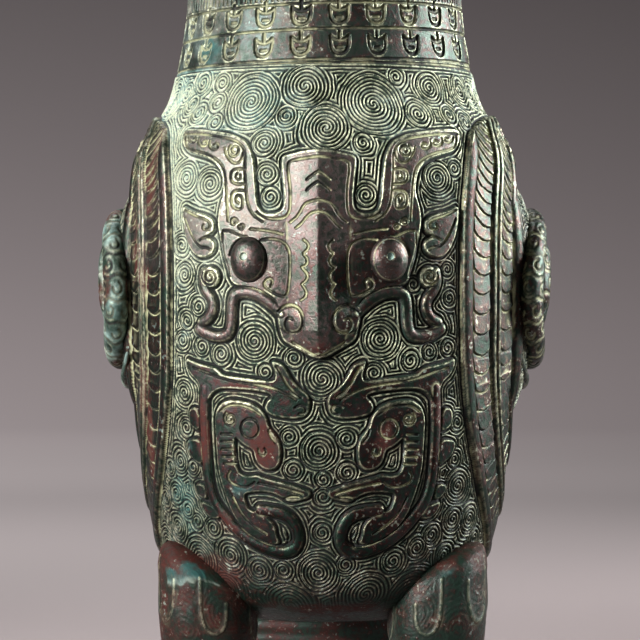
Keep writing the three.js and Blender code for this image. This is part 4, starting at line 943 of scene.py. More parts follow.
def wallHeight():
    zs = wallZ
    shape = (len(zs), len(us))
    first = int(np.searchsorted(us, -chest["halfWidth"]))
    lu = us[first:middle + 1]
    rise, away, cut = (np.concatenate([a, a[:, -2::-1]], 1) for a in chestRelief(lu, zs))
    cols = slice(first, 2 * middle - first + 1)
    height, cover = np.zeros(shape), np.zeros(shape)
    gap = np.full(shape, float(chest["reach"]))
    height[:, cols] = rise
    cover[:, cols] = smooth(0.15, 0.9, rise)
    gap[:, cols] = away
    cuts = np.zeros(shape)
    cuts[:, cols] = chest["cutDepth"] * (1 - smooth(0.18, 0.74, cut))
    print("mask and dragons drawn")
    raised = cover * mixed(0.8, 1.0, smooth(155, 160, zs))[:, None]
    winged = np.zeros(shape)
    for side in (1, -1):
        edge = int(np.searchsorted(us, 40))
        columns = np.arange(edge, len(us)) if side > 0 else np.arange(len(us) - edge - 1, -1, -1)
        wu = side * us[columns] + side * chart * wing["skew"]
        lift, lid, off, inside = wingRelief(wu, zs)
        height[:, columns] = np.where(inside, lift, height[:, columns])
        cover[:, columns] = np.where(inside, lid, cover[:, columns])
        raised[:, columns] = np.where(inside, 0.35 + 0.58 * lid, raised[:, columns])
        gap[:, columns] = np.where(inside, off, np.minimum(gap[:, columns], off))
        cuts[:, columns] = np.where(inside, 0, cuts[:, columns])
        winged[:, columns] = np.maximum(winged[:, columns], inside)
    print("wings drawn")
    collarPart = smooth(*collar["edge"], zs)[:, None]
    gap = np.minimum(gap, np.maximum(collar["threadsTo"] - zs, 0)[:, None])
    threads = groundThreads(zs, gap)
    worn = ground["wornTo"] + ground["wornBy"] * cloud(us, zs, 22, 8)
    haunch = hump(np.abs(turns), *ground["haunch"])[None, :] * smooth(*ground["haunchBelow"], zs)[:, None]
    quiet = smooth(*ground["fadeIn"], zs)[:, None] * (1 - collarPart) * (1 - ground["haunchPlain"] * haunch)
    height += ground["depth"] * threads * worn * (1 - cover) * quiet
    cuts = np.maximum(cuts, collarCuts(zs))
    height -= cuts
    height += ground["grain"] * cloud(us, zs, 3.4, 5) * (1 - 0.5 * quiet)
    height += ground["uneven"] * cloud(us, zs, 17, 6)
    raised = np.maximum(raised, collar["raised"] * collarPart)
    return height, raised, winged


def wallPoints(height):
    sin, cos = np.sin(turns)[None, :], np.cos(turns)[None, :]
    push = height * outR[:, None]
    points = np.empty(height.shape + (3,))
    points[..., 0] = (wallR[:, None] + push) * sin
    points[..., 1] = vessel["axisBack"] - (vessel["oval"] * wallR[:, None] + push) * cos
    points[..., 2] = wallZ[:, None] + height * outZ[:, None]
    points[:, -1] = points[:, 0]
    return points


bloomAndShadeLayout = {   # pale bloom low and high on each side, and the heights between which it changes; partly real bloom, partly painted light and shade
    "left": (0.12, 0.74), "leftFrom": (120, 235), "right": (0.06, 0.42), "rightFrom": (190, 252),
    "offWings": 0.75, "offCollar": (0.55, 0.25), "collarFrom": (282, 284), "leftSide": (-0.35, 0.6),
    "edgesOnBelly": 0.5, "edgesFrom": (95, 160), "edgesOffWings": (0.35, 0.25), "flankShadeOnEdges": 0.5,
    "flankTurn": (0.35, 0.6), "flankFrom": (140, 175), "flankTo": (250, 228),
}


def buildWall():
    height, raised, winged = wallHeight()
    points = wallPoints(height)
    normals = gridNormals(points, wrapped=True)
    layers = reliefLayers(height, vessel["rowStep"] * coarse)
    layers["raised"] = raised
    left = smooth(*bloomAndShadeLayout["leftSide"], -np.sin(turns))[None, :]   # 1 on the left of the body
    # edges of the plates are thin lines, and pale edges fade to half towards the belly
    thin = np.clip(1.7 * layers["proud"] - 0.7, 0, 1)
    less, leftMore = bloomAndShadeLayout["edgesOffWings"]
    layers["proud"] = np.where(raised > 0.5, thin, layers["proud"]) * (1 - (less + leftMore * left) * winged)
    layers["proud"] *= mixed(bloomAndShadeLayout["edgesOnBelly"], 1.0, smooth(*bloomAndShadeLayout["edgesFrom"], wallZ))[:, None]
    # painted shade: on the right flank and round the back, between these heights, the pale edges are halved
    flank = smooth(*bloomAndShadeLayout["flankFrom"], wallZ) * smooth(*bloomAndShadeLayout["flankTo"], wallZ)
    shadedFlank = smooth(*bloomAndShadeLayout["flankTurn"], turns)[None, :] * flank[:, None]
    layers["proud"] *= 1 - bloomAndShadeLayout["flankShadeOnEdges"] * shadedFlank
    layers["jade"], layers["rust"] = stainLayer("jade", wallZ), stainLayer("rust", wallZ)
    # pale bloom: thick on the left shoulder and neck, thin on the belly and to the right; partly real bloom
    # and partly painted light, paler where the light falls on the upper left, darker in the shade below and
    # to the right
    onLeft = mixed(*bloomAndShadeLayout["left"], smooth(*bloomAndShadeLayout["leftFrom"], wallZ))[:, None]
    onRight = mixed(*bloomAndShadeLayout["right"], smooth(*bloomAndShadeLayout["rightFrom"], wallZ))[:, None]
    less, leftLess = bloomAndShadeLayout["offCollar"]
    onCollar = (less - leftLess * left) * smooth(*bloomAndShadeLayout["collarFrom"], wallZ)[:, None]
    layers["bloomAndPaintedLight"] = mixed(onRight, onLeft, left) * (1 - bloomAndShadeLayout["offWings"] * winged) * (1 - onCollar)
    collarRow = int(np.searchsorted(wallZ, vessel["collarFrom"]))
    dragonRow = int(np.searchsorted(wallZ, vessel["dragonBelow"]))
    chestCol = int(np.searchsorted(turns, math.radians(vessel["chestTurn"])))
    flankCol = int(np.searchsorted(turns, math.radians(vessel["flankTurn"])))
    last = len(turns) - 1
    masked = ("horn", "cheek", "jaw", "ear", "curl")
    maskNodes = ["mask_nose"] + [s + "_mask_" + k for k in masked for s in ("left", "right")]
    dragonNodes = [s + "_dragon_" + k for k in ("body", "head") for s in ("left", "right")]
    top = len(wallZ) - 1
    parts = [   # name, first and last row, first and last column, slot, nodes it stands for
        ("neckCollar", collarRow, top, 0, last, "bronze_green", ["body_shell"]),
        ("maskPanel", dragonRow, collarRow, last - chestCol, chestCol, "bronze_worn", maskNodes),
        ("dragonPanel", 0, dragonRow, last - chestCol, chestCol, "bronze_red", dragonNodes),
        ("rightWingWall", 0, collarRow, chestCol, flankCol, "bronze_green", ["right_wing"]),
        ("leftWingWall", 0, collarRow, last - flankCol, last - chestCol, "bronze_green", ["left_wing"]),
        ("backWallRight", 0, collarRow, flankCol, last, "bronze_green", ["body_shell"]),
        ("backWallLeft", 0, collarRow, 0, last - flankCol, "bronze_green", ["body_shell"]),
    ]
    for name, r0, r1, c0, c1, slotName, nodes in parts:
        window = np.s_[r0:r1 + 1, c0:c1 + 1]
        cut = {k: v[window] for k, v in layers.items()}
        piece = gridPiece(name, points[window], cut, bronzeGreen, normals[window])
        settle(piece, "vessel", slotName, *nodes)
    print("vessel wall built:", height.shape)


buildWall()


lesser = {"tries": 900, "apart": 0.8, "inset": 0.3, "widest": 14.0, "crisp": 1.7}   # smaller thread grounds


def scatterThreads(across, up, seed, sizes, pitch, around, margin):
    # spiral thread relief for a smaller piece that closes on itself after around mm
    rng = np.random.default_rng(seed)
    edge = np.maximum(np.minimum(up - up[0], up[-1] - up) - margin, 0)
    gap = np.minimum(np.full((len(up), len(across)), lesser["widest"]), edge[:, None])

    def swing(a, a1):
        return (a - a1 + around / 2) % around - around / 2
    discs = []
    for _ in range(lesser["tries"]):
        a, z = rng.uniform(across[0], across[-1]), rng.uniform(up[0], up[-1])
        room = min(sizes[1], z - up[0] - margin, up[-1] - margin - z)
        for a1, z1, r1 in discs:
            room = min(room, math.hypot(swing(a, a1), z - z1) - r1 - lesser["apart"])
        if room > sizes[0]:
            discs.append((a, z, room - lesser["inset"]))
    threads = np.zeros(gap.shape)
    owner = np.zeros(gap.shape, bool)
    for number, (a, z, radius) in enumerate(discs):
        aside, rise = swing(across[None, :], a), up[:, None] - z
        rho = np.hypot(aside, rise)
        inside = rho < radius
        way = 1 if number % 2 else -1
        wave = np.cos(2 * math.pi * (rho - radius) / pitch + way * np.arctan2(rise, aside))
        threads = np.where(inside, wave, threads)
        owner |= inside
        gap = np.minimum(gap, np.maximum(rho - radius, 0))
    lines = np.cos(2 * math.pi * gap / pitch)
    return np.tanh(lesser["crisp"] * np.where(owner, threads, lines))


def tubeSheet(path, radii, reference, around, flat, relief):
    # rings square to a path; relief(run, turn) stands proud of the plain round
    p = np.asarray(path, float)
    tangent = np.gradient(p, axis=0)
    tangent /= np.linalg.norm(tangent, axis=1, keepdims=True)
    up = np.broadcast_to(np.asarray(reference, float), p.shape)
    up = up - tangent * np.sum(up * tangent, axis=1, keepdims=True)
    up /= np.linalg.norm(up, axis=1, keepdims=True)
    side = np.cross(up, tangent)
    turn = np.linspace(0, 2 * math.pi, around + 1)
    lift = relief(runOf(p)[:, None], turn[None, :])
    r = np.asarray(radii, float)[:, None] + lift
    points = spread(p[:, None], (r * np.cos(turn), side[:, None]), (flat * r * np.sin(turn), up[:, None]))
    points[:, -1] = points[:, 0]
    return points, lift


def turnedSheet(line, sides, oval, lift):
    # turned about the vessel's axis; line is radius and height
    p = np.asarray(line, float)
    turn = np.linspace(-math.pi, math.pi, sides + 1)
    tangent = np.gradient(p, axis=0)
    tangent /= np.maximum(np.linalg.norm(tangent, axis=1, keepdims=True), 1e-9)
    r = np.maximum(p[:, :1] + lift * tangent[:, 1:], 0)
    points = np.empty((len(p), sides + 1, 3))
    points[..., 0] = r * np.sin(turn)
    points[..., 1] = vessel["axisBack"] - oval * r * np.cos(turn)
    points[..., 2] = p[:, 1:] - lift * tangent[:, :1]
    points[:, -1] = points[:, 0]
    return points


def finishLayers(lift, step, raised, bloomAndPaintedLight, rust=0.0):
    layers = reliefLayers(lift, step)
    layers.update({"raised": raised, "bloomAndPaintedLight": bloomAndPaintedLight, "rust": rust, "jade": 0.0})
    return layers


def pairOf(name, points, layers, finish, slotName, body, node, leftLayers=None):
    for side, sign in (("right", 1), ("left", -1)):
        mirrored = points * np.array([sign, 1, 1])
        worn = {**layers, **leftLayers} if leftLayers and sign < 0 else layers
        piece = gridPiece(side + name, mirrored, worn, finish, flip=sign < 0)
        settle(piece, body, slotName, side + node)


lining = {   # radius and height, as the frame has them
    "lip": [(59.5, 330), (59.1, 330), (57, 330), (55.9, 330), (55.6, 329.6)], "belly": (52, 329.3),
    "floor": [(30, 51), (14, 50.6), (0.2, 50.5)], "under": [(0.2, 45.6), (20, 45.8), (30, 46.1), (34, 46.5)],
    "step": 1.6, "sides": 220, "underSides": 120, "rough": 0.12, "roughSize": 6, "roughRound": 340,
}


def buildLining():
    # rim, inside wall and floor of the belly, and the underside
    thick, step, sides = vessel["wallMm"], lining["step"], lining["sides"]
    low, high = lining["belly"]
    inner = np.stack([wallR - thick * outR, wallZ - thick * outZ], 1)[::-1]
    inner = inner[(inner[:, 1] > low) & (inner[:, 1] < high)]
    line = evenly(np.vstack([lining["lip"], inner, lining["floor"]]), step)
    around = np.linspace(0, lining["roughRound"], sides + 1)
    rough = lining["rough"] * cloud(around, np.arange(len(line)) * step, lining["roughSize"], 21)
    rough[:6] = 0   # the rim is smooth
    points = turnedSheet(line, sides, vessel["oval"], rough)
    piece = gridPiece("mouthLining", points, finishLayers(rough, step, 0.2, 0.3), bronzeDark)
    settle(piece, "vessel", "bronze_green", "body_shell")
    under = evenly(lining["under"], 1.0)
    plain = np.zeros((len(under), lining["underSides"] + 1))
    points = turnedSheet(under, lining["underSides"], vessel["oval"], plain)
    piece = gridPiece("bellyUnderside", points, finishLayers(plain, 1, 0.1, 0.2), bronzeDark)
    settle(piece, "vessel", "bronze_green", "body_shell")


eye = {
    "out": 28.6, "height": 201, "halfWidth": 8.2, "halfHeight": 9.6, "bulge": 5.0, "bed": 0.9,
    "pupil": (-0.7, 1.2, 1.55), "drill": 1.1, "rimLine": 0.14, "rimAt": 0.88, "rimWidth": 0.03,
}


def buildEyes():
    # boss eyes, domed, with a drilled pupil and a fine line round the rim
    rho = np.linspace(1, 0.002, int(64 / coarse))[:, None]
    phi = np.linspace(0, 2 * math.pi, int(120 / coarse))[None, :]
    x, y = eye["halfWidth"] * rho * np.cos(phi), eye["halfHeight"] * rho * np.sin(phi)
    dome = eye["bulge"] * np.clip(1 - rho ** 2.4, 0, 1) ** 0.55
    offX, offY, hole = eye["pupil"]
    far = np.hypot(x - offX, y - offY)
    drilled = -eye["drill"] * smooth(hole + 0.25, hole - 0.35, far)
    drilled -= eye["rimLine"] * hump(rho, eye["rimAt"], eye["rimWidth"])
    pupil = smooth(hole + 0.1, hole - 0.3, far)   # green earth has settled in the hole
    layers = finishLayers(drilled, 0.25 * coarse, 0.92 * (1 - pupil), 0.3 + pupil)
    layers["hollow"] = layers["hollow"] * (1 - pupil)
    for side, sign in (("right", 1), ("left", -1)):
        turn = sign * math.asin(eye["out"] / bodyRadius(eye["height"]))
        place, right, up, out = onBody(turn, eye["height"], eye["bed"])
        points = spread(place, (x, right), (y, up), (dome + drilled, out))
        piece = gridPiece(side + "MaskEye", points, layers, bronzeWorn)
        settle(piece, "vessel", "bronze_dark", side + "_mask_eye")


serpent = {
    "coilBack": 6.0, "coilHeight": 187, "outer": 39, "pitch": 11.5, "loops": 2.02, "start": -0.78,
    "thick": 6.6, "tip": (0.12, 7.5), "body": (0.58, 1.3), "neck": 0.35, "float": 1.4, "flat": 0.75,
    "stud": 8.5, "studRise": 0.35, "hookCut": 0.6, "stretches": 62, "twist": 25,
    "headAt": (5.0, 189.0, 10.0), "headLong": 24, "headHalf": 9.4, "headTall": 5.6, "headLean": (0, 0.3, 1.0),
}


def wingSkin(y, z, lift):
    # a place lift mm above the right wing
    r = bodyRadius(z)
    across = (y - vessel["axisBack"]) / vessel["oval"]
    x = np.sqrt(np.maximum(r ** 2 - across ** 2, 1))
    out = np.stack([x, across / vessel["oval"], 0 * x], -1)
    out /= np.linalg.norm(out, axis=-1, keepdims=True)
    return np.stack([x, y, z], -1) + out * np.asarray(lift)[..., None], out


def buildSerpents():
    share = np.linspace(0, 1, int(760 / coarse))
    angle = math.pi * serpent["start"] + 2 * math.pi * serpent["loops"] * share
    reach = serpent["outer"] - serpent["pitch"] * serpent["loops"] * share
    y = serpent["coilBack"] + reach * np.cos(angle)
    z = serpent["coilHeight"] + reach * np.sin(angle)
    (tip, tipGrows), (slim, grows) = serpent["tip"], serpent["body"]
    swell = np.minimum(np.minimum(1, tip + tipGrows * share), slim + grows * share)
    thick = serpent["thick"] * swell * (1 - serpent["neck"] * smooth(0.93, 1.0, share))
    around = np.arccos(np.clip(-(y - vessel["axisBack"]) / vessel["oval"] / bodyRadius(z), -1, 1))
    lift = coilDome(around, z) + serpent["float"] * smooth(0.02, 0.3, share) + wing["plate"]
    path, out = wingSkin(y, z, lift)
    thick[0] = thick[-1] = 0.2

    def studs(run, turn):
        # low lozenges, each with a cut hook
        row = run / serpent["stud"]
        v = (turn * 4 / (2 * math.pi) + 0.5 * np.floor(row)) % 1 * 2 - 1
        w = (row - np.floor(row)) * 2 - 1
        hook = hump(np.hypot(w, v), 0.5, 0.13) * smooth(-0.95, -0.5, np.cos(np.arctan2(v, w) - 0.6))
        lozenge = smooth(1.0, 0.8, np.abs(w) * 0.9 + np.abs(v) * 0.3)
        carved = serpent["studRise"] * lozenge - serpent["hookCut"] * hook
        return carved * np.clip(thick / 4, 0, 1)[:, None]

    points, lifted = tubeSheet(path, thick, out, int(84 / coarse), serpent["flat"], studs)
    layers = finishLayers(lifted, 0.5, 0.6, 0.15, 0.2)
    # the left one is greener, with red oxide in stretches
    across = np.linspace(0, 2 * math.pi, points.shape[1])[None, :]
    waves = np.sin(serpent["stretches"] * share)[:, None]
    waves = waves + 0.8 * np.sin(2 * across + serpent["twist"] * share[:, None])
    stretch = smooth(0.1, 1.3, waves)
    greener = {"raised": 0.46, "bloomAndPaintedLight": 0.55 - 0.3 * stretch, "jade": 0.25, "rust": 0.15 + 0.6 * stretch}
    pairOf("Serpent", points, layers, bronzeDark, "bronze_dark", "vessel", "_serpent", greener)


def buildSerpentHeads():
    # the head lies in the middle of the coil, snout down
    along = np.linspace(0, 1, int(90 / coarse))[:, None]
    phi = np.linspace(0, 2 * math.pi, int(110 / coarse))[None, :]
    oval = np.sqrt(np.clip(1 - (2 * along - 1) ** 2, 0, 1))
    width = serpent["headHalf"] * oval * (0.72 + 0.42 * smooth(0.2, 0.75, along))
    tall = serpent["headTall"] * oval * (1.0 - 0.2 * along)
    eyes = hump(along, 0.62, 0.075) * (hump(phi, 0.95, 0.26) + hump(phi, math.pi - 0.95, 0.26))
    crest = hump(phi, math.pi / 2, 0.2) * smooth(0.1, 0.4, along) * smooth(0.95, 0.7, along)
    mouth = hump(phi, 0.12, 0.07) + hump(phi, math.pi - 0.12, 0.07)
    carve = 1.5 * eyes + 0.8 * crest - 0.8 * mouth * smooth(0.5, 0.2, along) * smooth(0.03, 0.12, along)
    side = width * np.cos(phi) * 0.8 + carve * np.cos(phi)
    high = tall * np.sin(phi) + carve * np.sin(phi)
    middle, out = wingSkin(*np.array(serpent["headAt"]))
    lean = np.array(serpent["headLean"])   # from the snout to the back of the head
    lean /= np.linalg.norm(lean)
    out = out - lean * np.dot(out, lean)
    out /= np.linalg.norm(out)
    length = serpent["headLong"] * (along - 0.5)
    points = spread(middle, (length, lean), (side, -np.cross(lean, out)), (high, out))
    layers = finishLayers(carve, 0.3, 0.7, 0.05)
    pairOf("SerpentHead", points, layers, bronzeDark, "bronze_dark", "vessel", "_serpent_head")


limb = {
    "out": 49.5, "back": -30.49, "chart": 23, "square": 2.5,
    "stations": [   # half width, half depth, height and slope
        (13.4, 15.4, 14.4, 0), (13.9, 16.4, 18, 0), (15.6, 19.2, 23.5, 0.02), (19.2, 25.4, 33, 0.13),
        (21.2, 28.6, 46, 0.25), (21.0, 28.6, 57, 0.42), (21.0, 28.2, 63, 0.46), (19.6, 26.4, 69.4, 0.48),
        (14.4, 20, 74.2, 0.48), (6, 8.5, 77, 0.46), (0.2, 0.3, 77.6, 0.46)],
    "spirals": (3.2, 9.0), "pitch": 1.9, "margin": 5, "thread": 0.07, "plumeRise": 0.4,
    "plumes": (8, 145, 24), "plumeLine": [(-6, 50), (-5.5, 38), (0, 33), (5.5, 38), (6, 56)],
    "thighFrom": (12, 20), "uneven": 0.22, "grain": 0.08,
    "crustAt": 66, "bleachAt": 64.5, "oxideFrom": (66, 72),
}


def squareRound(phi, half, deep, relief):
    # a rounded square about the leg's axis
    cos, sin = np.cos(phi)[None, :], np.sin(phi)[None, :]
    power = limb["square"]
    square = (np.abs(cos) ** power + np.abs(sin) ** power) ** (-1 / power)
    x = limb["out"] + (half * square + relief) * cos
    y = limb["back"] + (deep * square + relief) * sin
    return x, y, cos, sin


def buildLegs():
    line = evenly(splineThrough(limb["stations"], 500), 0.5 * coarse)
    phi = np.linspace(0, 2 * math.pi, int(300 / coarse))
    across, up = limb["chart"] * phi, runOf(line[:, :3])
    threads = scatterThreads(across, up, 31, limb["spirals"], limb["pitch"], across[-1], limb["margin"])
    plumes = np.full(threads.shape, 9.0)
    for middle in np.arange(*limb["plumes"]):   # long plume outlines round the thigh, nearly worn away
        nearLine(plumes, across, up, softened([(middle + a, t) for a, t in limb["plumeLine"]]), 3)
    thigh = smooth(*limb["thighFrom"], up)[:, None]
    worn = 0.7 + 0.3 * cloud(across, up, 12, 33)
    relief = limb["thread"] * threads * thigh * worn * smooth(0.8, 1.8, plumes)
    relief += thigh * limb["plumeRise"] * (1 - smooth(0.4, 1.2, plumes))
    relief += limb["uneven"] * cloud(across, up, 9, 34) + limb["grain"] * cloud(across, up, 2.6, 38)
    relief *= smooth(up[-1], up[-1] - 4, up)[:, None]
    x, y, cos, sin = squareRound(phi, line[:, :1], line[:, 1:2], relief)
    z = line[:, 2:3] + line[:, 3:4] * (x - limb["out"])
    points = np.stack([x, y, z], 2)
    points[:, -1] = points[:, 0]
    # crust along the seam with the body, red oxide above it, green and red blotches below
    seam = smooth(0.3, -0.4, sin) * smooth(-0.9, -0.2, cos)
    ragged = z + 3.5 * cloud(across, up, 8, 36) + 1.5 * cloud(across, up, 3, 39)
    patchy = smooth(-0.3, 0.5, cloud(across, up, 7, 37))
    crust = 0.75 * hump(ragged, limb["crustAt"], 4) * seam * patchy
    crust += 0.45 * smooth(0.1, 0.7, cloud(across, up, 13, 40))
    bleached = 0.06 + 0.6 * hump(ragged, limb["bleachAt"], 2) * seam * patchy
    oxide = 0.6 + 0.3 * smooth(*limb["oxideFrom"], z)
    layers = finishLayers(relief, 0.5, 0.45, 0.04, 0.7 * oxide)
    layers["jade"] = 0.6 * crust
    onLeft = {"bloomAndPaintedLight": bleached, "rust": oxide, "jade": crust}
    pairOf("Leg", points, layers, bronzeDark, "bronze_dark", "vessel", "_leg", onLeft)


foot = {
    "pad": [(15.5, 19, 0), (16.6, 20.5, 1.5), (16.4, 19.6, 8), (14.4, 16.6, 13), (13.2, 15.2, 15.2)],
    "toes": [(-0.3, 44), (0.0, 45), (0.3, 44), (math.pi, 26)], "toeThick": 7.3, "toeFlat": 0.95,
    "toeHeight": ([0, 0.45, 0.75, 0.92, 1], [6, 7.0, 5.6, 3.2, 1.2]),
    "toeShape": ([0, 0.3, 0.66, 0.74, 0.9, 1], [0.95, 1.0, 0.86, 0.62, 0.4, 0.05]),
    "fold": 0.4, "foldStep": 4.6,
}


def buildFeet():
    # pad under the ankle, three toes and a spur
    phi = np.linspace(0, 2 * math.pi, int(300 / coarse))
    pad = evenly(splineThrough(foot["pad"], 80), 0.6 * coarse)
    pad = np.vstack([[(0.2, 0.2, 0)], pad])
    rough = 0.15 * cloud(limb["chart"] * phi, pad[:, 2], 7, 35)
    x, y = squareRound(phi, pad[:, :1], pad[:, 1:2], rough)[:2]
    points = np.stack([x, y, np.broadcast_to(pad[:, 2:3], x.shape)], 2)
    layers = finishLayers(rough, 0.6, 0.4, 0.1, 0.2)
    pairOf("FootPad", points, layers, bronzeDark, "bronze_dark", "vessel", "_foot")
    share = np.linspace(0, 1, int(150 / coarse))
    heights = np.interp(share, *foot["toeHeight"])
    thick = foot["toeThick"] * np.interp(share, *foot["toeShape"])
    for number, (turn, length) in enumerate(foot["toes"]):
        way = np.array([math.sin(turn), -math.cos(turn), 0])
        path = spread((limb["out"], limb["back"], 0), (share * length, way), (heights, (0, 0, 1.0)))

        def knuckles(run, turned):
            folds = foot["fold"] * np.cos(2 * math.pi * run / foot["foldStep"])
            return folds * smooth(length * 0.72, length * 0.6, run) * smooth(-0.2, 0.5, np.sin(turned))
        points, lift = tubeSheet(path, thick, (0, 0, 1), int(60 / coarse), foot["toeFlat"], knuckles)
        points[..., 2] = np.maximum(points[..., 2], 0.0)
        layers = finishLayers(lift, 0.5, 0.5, 0.05, 0.2)
        pairOf("Toe%d" % number, points, layers, bronzeDark, "bronze_dark", "vessel", "_foot")


tail = {
    "height": 132, "halfTop": 25, "halfFoot": 39, "backTop": 66.5, "backFoot": 81.5, "thickTop": 8.5,
    "thickFoot": 11, "belly": 4, "feathers": 5, "rib": 3.5, "barb": 2.6, "barbCut": 0.3, "barbSlope": 5.0,
    "quill": 0.7, "bandStep": 33, "bandRise": 0.5, "bandWidth": 1.3,
}


def buildTail():
    rows, n = int(300 / coarse), int(260 / coarse)
    share = np.linspace(0, 1, rows)[:, None]
    across = np.linspace(-1, 1, n)[None, :]
    half = mixed(tail["halfFoot"], tail["halfTop"], share ** 1.5)
    middle = mixed(tail["backFoot"], tail["backTop"], share)
    thick = mixed(tail["thickFoot"], tail["thickTop"], share) + tail["belly"] * np.sin(math.pi * share)
    lobe = (across + 1) / 2 * tail["feathers"]
    v = (lobe - np.floor(np.clip(lobe, 0, tail["feathers"] - 1e-6))) * 2 - 1
    rib = tail["rib"] * np.sqrt(np.clip(1 - 0.9 * v * v, 0, 1))
    z = tail["height"] * share
    vane = smooth(0.95, 0.8, np.abs(v))
    barbs = tail["barbCut"] * np.cos(2 * math.pi * (z + tail["barbSlope"] * np.abs(v)) / tail["barb"])
    barbs = barbs * smooth(0.12, 0.25, np.abs(v)) * vane
    bands = tail["bandRise"] * hump(z % tail["bandStep"], tail["bandStep"] / 2, tail["bandWidth"])
    relief = rib + barbs + tail["quill"] * hump(v, 0, 0.09) + bands * vane
    back = middle + thick * np.sqrt(1 - 0.75 * across ** 2) - tail["rib"] + relief
    points = np.stack(np.broadcast_arrays(half * across, back, z), 2)
    frontAcross = np.linspace(1, -1, n // 2)[None, :]
    frontY = middle - thick * (1 - frontAcross ** 2 / 2) + 0.25 * np.cos(2 * math.pi * z / 6)
    front = np.stack(np.broadcast_arrays(half * frontAcross, frontY, z), 2)
    ring = np.concatenate([points, front, points[:, :1]], 1)
    sole, crown = (ring.mean(1, keepdims=True)[k] * np.ones_like(ring[:1]) for k in (np.s_[:1], np.s_[-1:]))
    sole[..., 2] = 0
    ring = np.concatenate([sole, ring, crown], 0)
    lift = np.zeros(ring.shape[:2])
    lift[1:-1, :n] = relief
    inFront = (np.arange(lift.shape[1]) >= n).astype(float)[None, :]
    layers = finishLayers(lift, 0.45, 0.35, 0.3 - 0.28 * inFront, 0.1 + 0.55 * inFront)
    settle(gridPiece("tailProp", ring, layers, bronzeGreen, flip=True), "vessel", "bronze_green", "tail")


head = {
    "line": [(61, 0), (63.5, 20), (58, 47), (34, 70), (0.3, 78)], "chart": 58,
    "spirals": (3.5, 10.5), "pitch": 1.7, "margin": 13, "thread": 0.34, "uneven": 0.14,
    "rings": (2.2, 11.6, 13.0), "ringCut": 0.7,
    "scaleWide": 7.6, "scaleHigh": 9.4, "scaleRise": 0.9, "scaleSag": 0.4,
    "brow": [(3, 44), (16, 55), (34, 62), (52, 60), (64, 50)], "browUp": 6, "browRise": 2.6, "browHalf": 3.6,
    "lining": [(61, 330.02), (52, 330.02), (50.6, 330.4), (50.5, 334), (57, 342), (58.6, 350), (54, 374),
               (31, 396), (0.3, 403.6)],
    "flange": [(54.9, 330), (54.9, 329), (54.9, 318), (54, 316), (52.5, 316), (51.9, 316.6), (51.9, 330)],
    "innerSides": 200, "liningStep": 1.5, "flangeStep": 0.8,
}


def buildHead():
    line = evenly(splineThrough(head["line"], 900), 0.5 * coarse)
    sides = int(720 / coarse)
    across = head["chart"] * np.linspace(-math.pi, math.pi, sides + 1)
    up = runOf(line)
    around = across[-1] - across[0]
    threads = scatterThreads(across, up, 41, head["spirals"], head["pitch"], around, head["margin"])
    rings = np.zeros(len(up))
    for place in head["rings"]:
        rings = np.maximum(rings, head["ringCut"] * (1 - smooth(0.3, 0.9, np.abs(up - place))))
    v = (across / head["scaleWide"]) % 1 * 2 - 1
    rows = ((12 - up) / head["scaleHigh"])[:, None] - head["scaleSag"] * (1 - v * v)[None, :]
    onRing = (smooth(2.6, 3.2, up) * smooth(11.2, 10.8, up))[:, None]
    scales = head["scaleRise"] * laps(rows)[0] * onRing
    brow = np.full(threads.shape, 20.0)
    for sign in (1, -1):
        stroke = softened([(sign * a, t + head["browUp"]) for a, t in head["brow"]])
        nearLine(brow, across, up, stroke, 20)
    ridge = head["browRise"] * np.sqrt(np.clip(1 - (brow / head["browHalf"]) ** 2, 0, 1))
    crown = smooth(up[-1] - 3, up[-1] - 14, up)[:, None]
    relief = head["thread"] * threads * smooth(13, 14, up)[:, None] * crown * smooth(3.2, 4.2, brow)
    relief = relief + scales + ridge - rings[:, None]
    relief += head["uneven"] * cloud(across, up, 15, 43)
    relief *= smooth(0, 1.0, up)[:, None]
    points = turnedSheet(line + np.array([0, vessel["mouth"]]), sides, vessel["oval"], relief)
    layers = finishLayers(relief, 0.5, np.clip(ridge, 0, 1), 0.3)
    layers["rust"] = 0.4 * smooth(0.2, 0.8, cloud(across, up, 40, 44))
    settle(gridPiece("headLid", points, layers, bronzeGreen), "lid", "bronze_green", "head_lid")
    sides, step = head["innerSides"], head["liningStep"]
    inner = evenly(head["lining"], step)
    rough = 0.1 * cloud(np.linspace(0, 330, sides + 1), np.arange(len(inner)) * step, 6, 45)
    rough[:9] = 0   # the lip is flat
    points = turnedSheet(inner, sides, vessel["oval"], rough)
    piece = gridPiece("lidLining", points, finishLayers(rough, step, 0.2, 0.25), bronzeDark)
    settle(piece, "lid", "bronze_green", "head_lid")
    step = head["flangeStep"]
    ring = evenly(head["flange"], step)[::-1]
    filed = 0.05 * cloud(np.linspace(0, 340, sides + 1), np.arange(len(ring)) * step, 2.2, 46)
    points = turnedSheet(ring, sides, vessel["oval"], filed)
    piece = gridPiece("lidFlange", points, finishLayers(filed, step, 0.8, 0.0), bronzeDark)
    settle(piece, "lid", "bronze_dark", "lid_flange")


lidEye = {
    "out": 27, "height": 40, "radius": 15.4, "skirt": 7,
    "rays": 24, "rayCut": 0.35, "rope": 40, "ropeCut": 0.3,
    "section": ([0, 2.4, 3.0, 3.6, 7.2, 8.2, 8.8, 12.2, 12.7, 14.4, 15.4],
                [5.6, 5.7, 7.2, 7.9, 5.4, 2.6, 2.4, 2.4, 4.4, 4.4, 1.4]),   # from the middle, and height
}


def lidFrame(out, height):
    # place and way out on the front of the head, out mm from the middle line
    line = splineThrough(head["line"], 900)
    k = int(np.argmax(line[:, 1] >= height))
    r = line[k, 0]
    front = vessel["oval"] * math.sqrt(r * r - out * out)
    way = Vector((out, -front / vessel["oval"] ** 2, r / 3)).normalized()
    return Vector((out, vessel["axisBack"] - front, vessel["mouth"] + height)), way


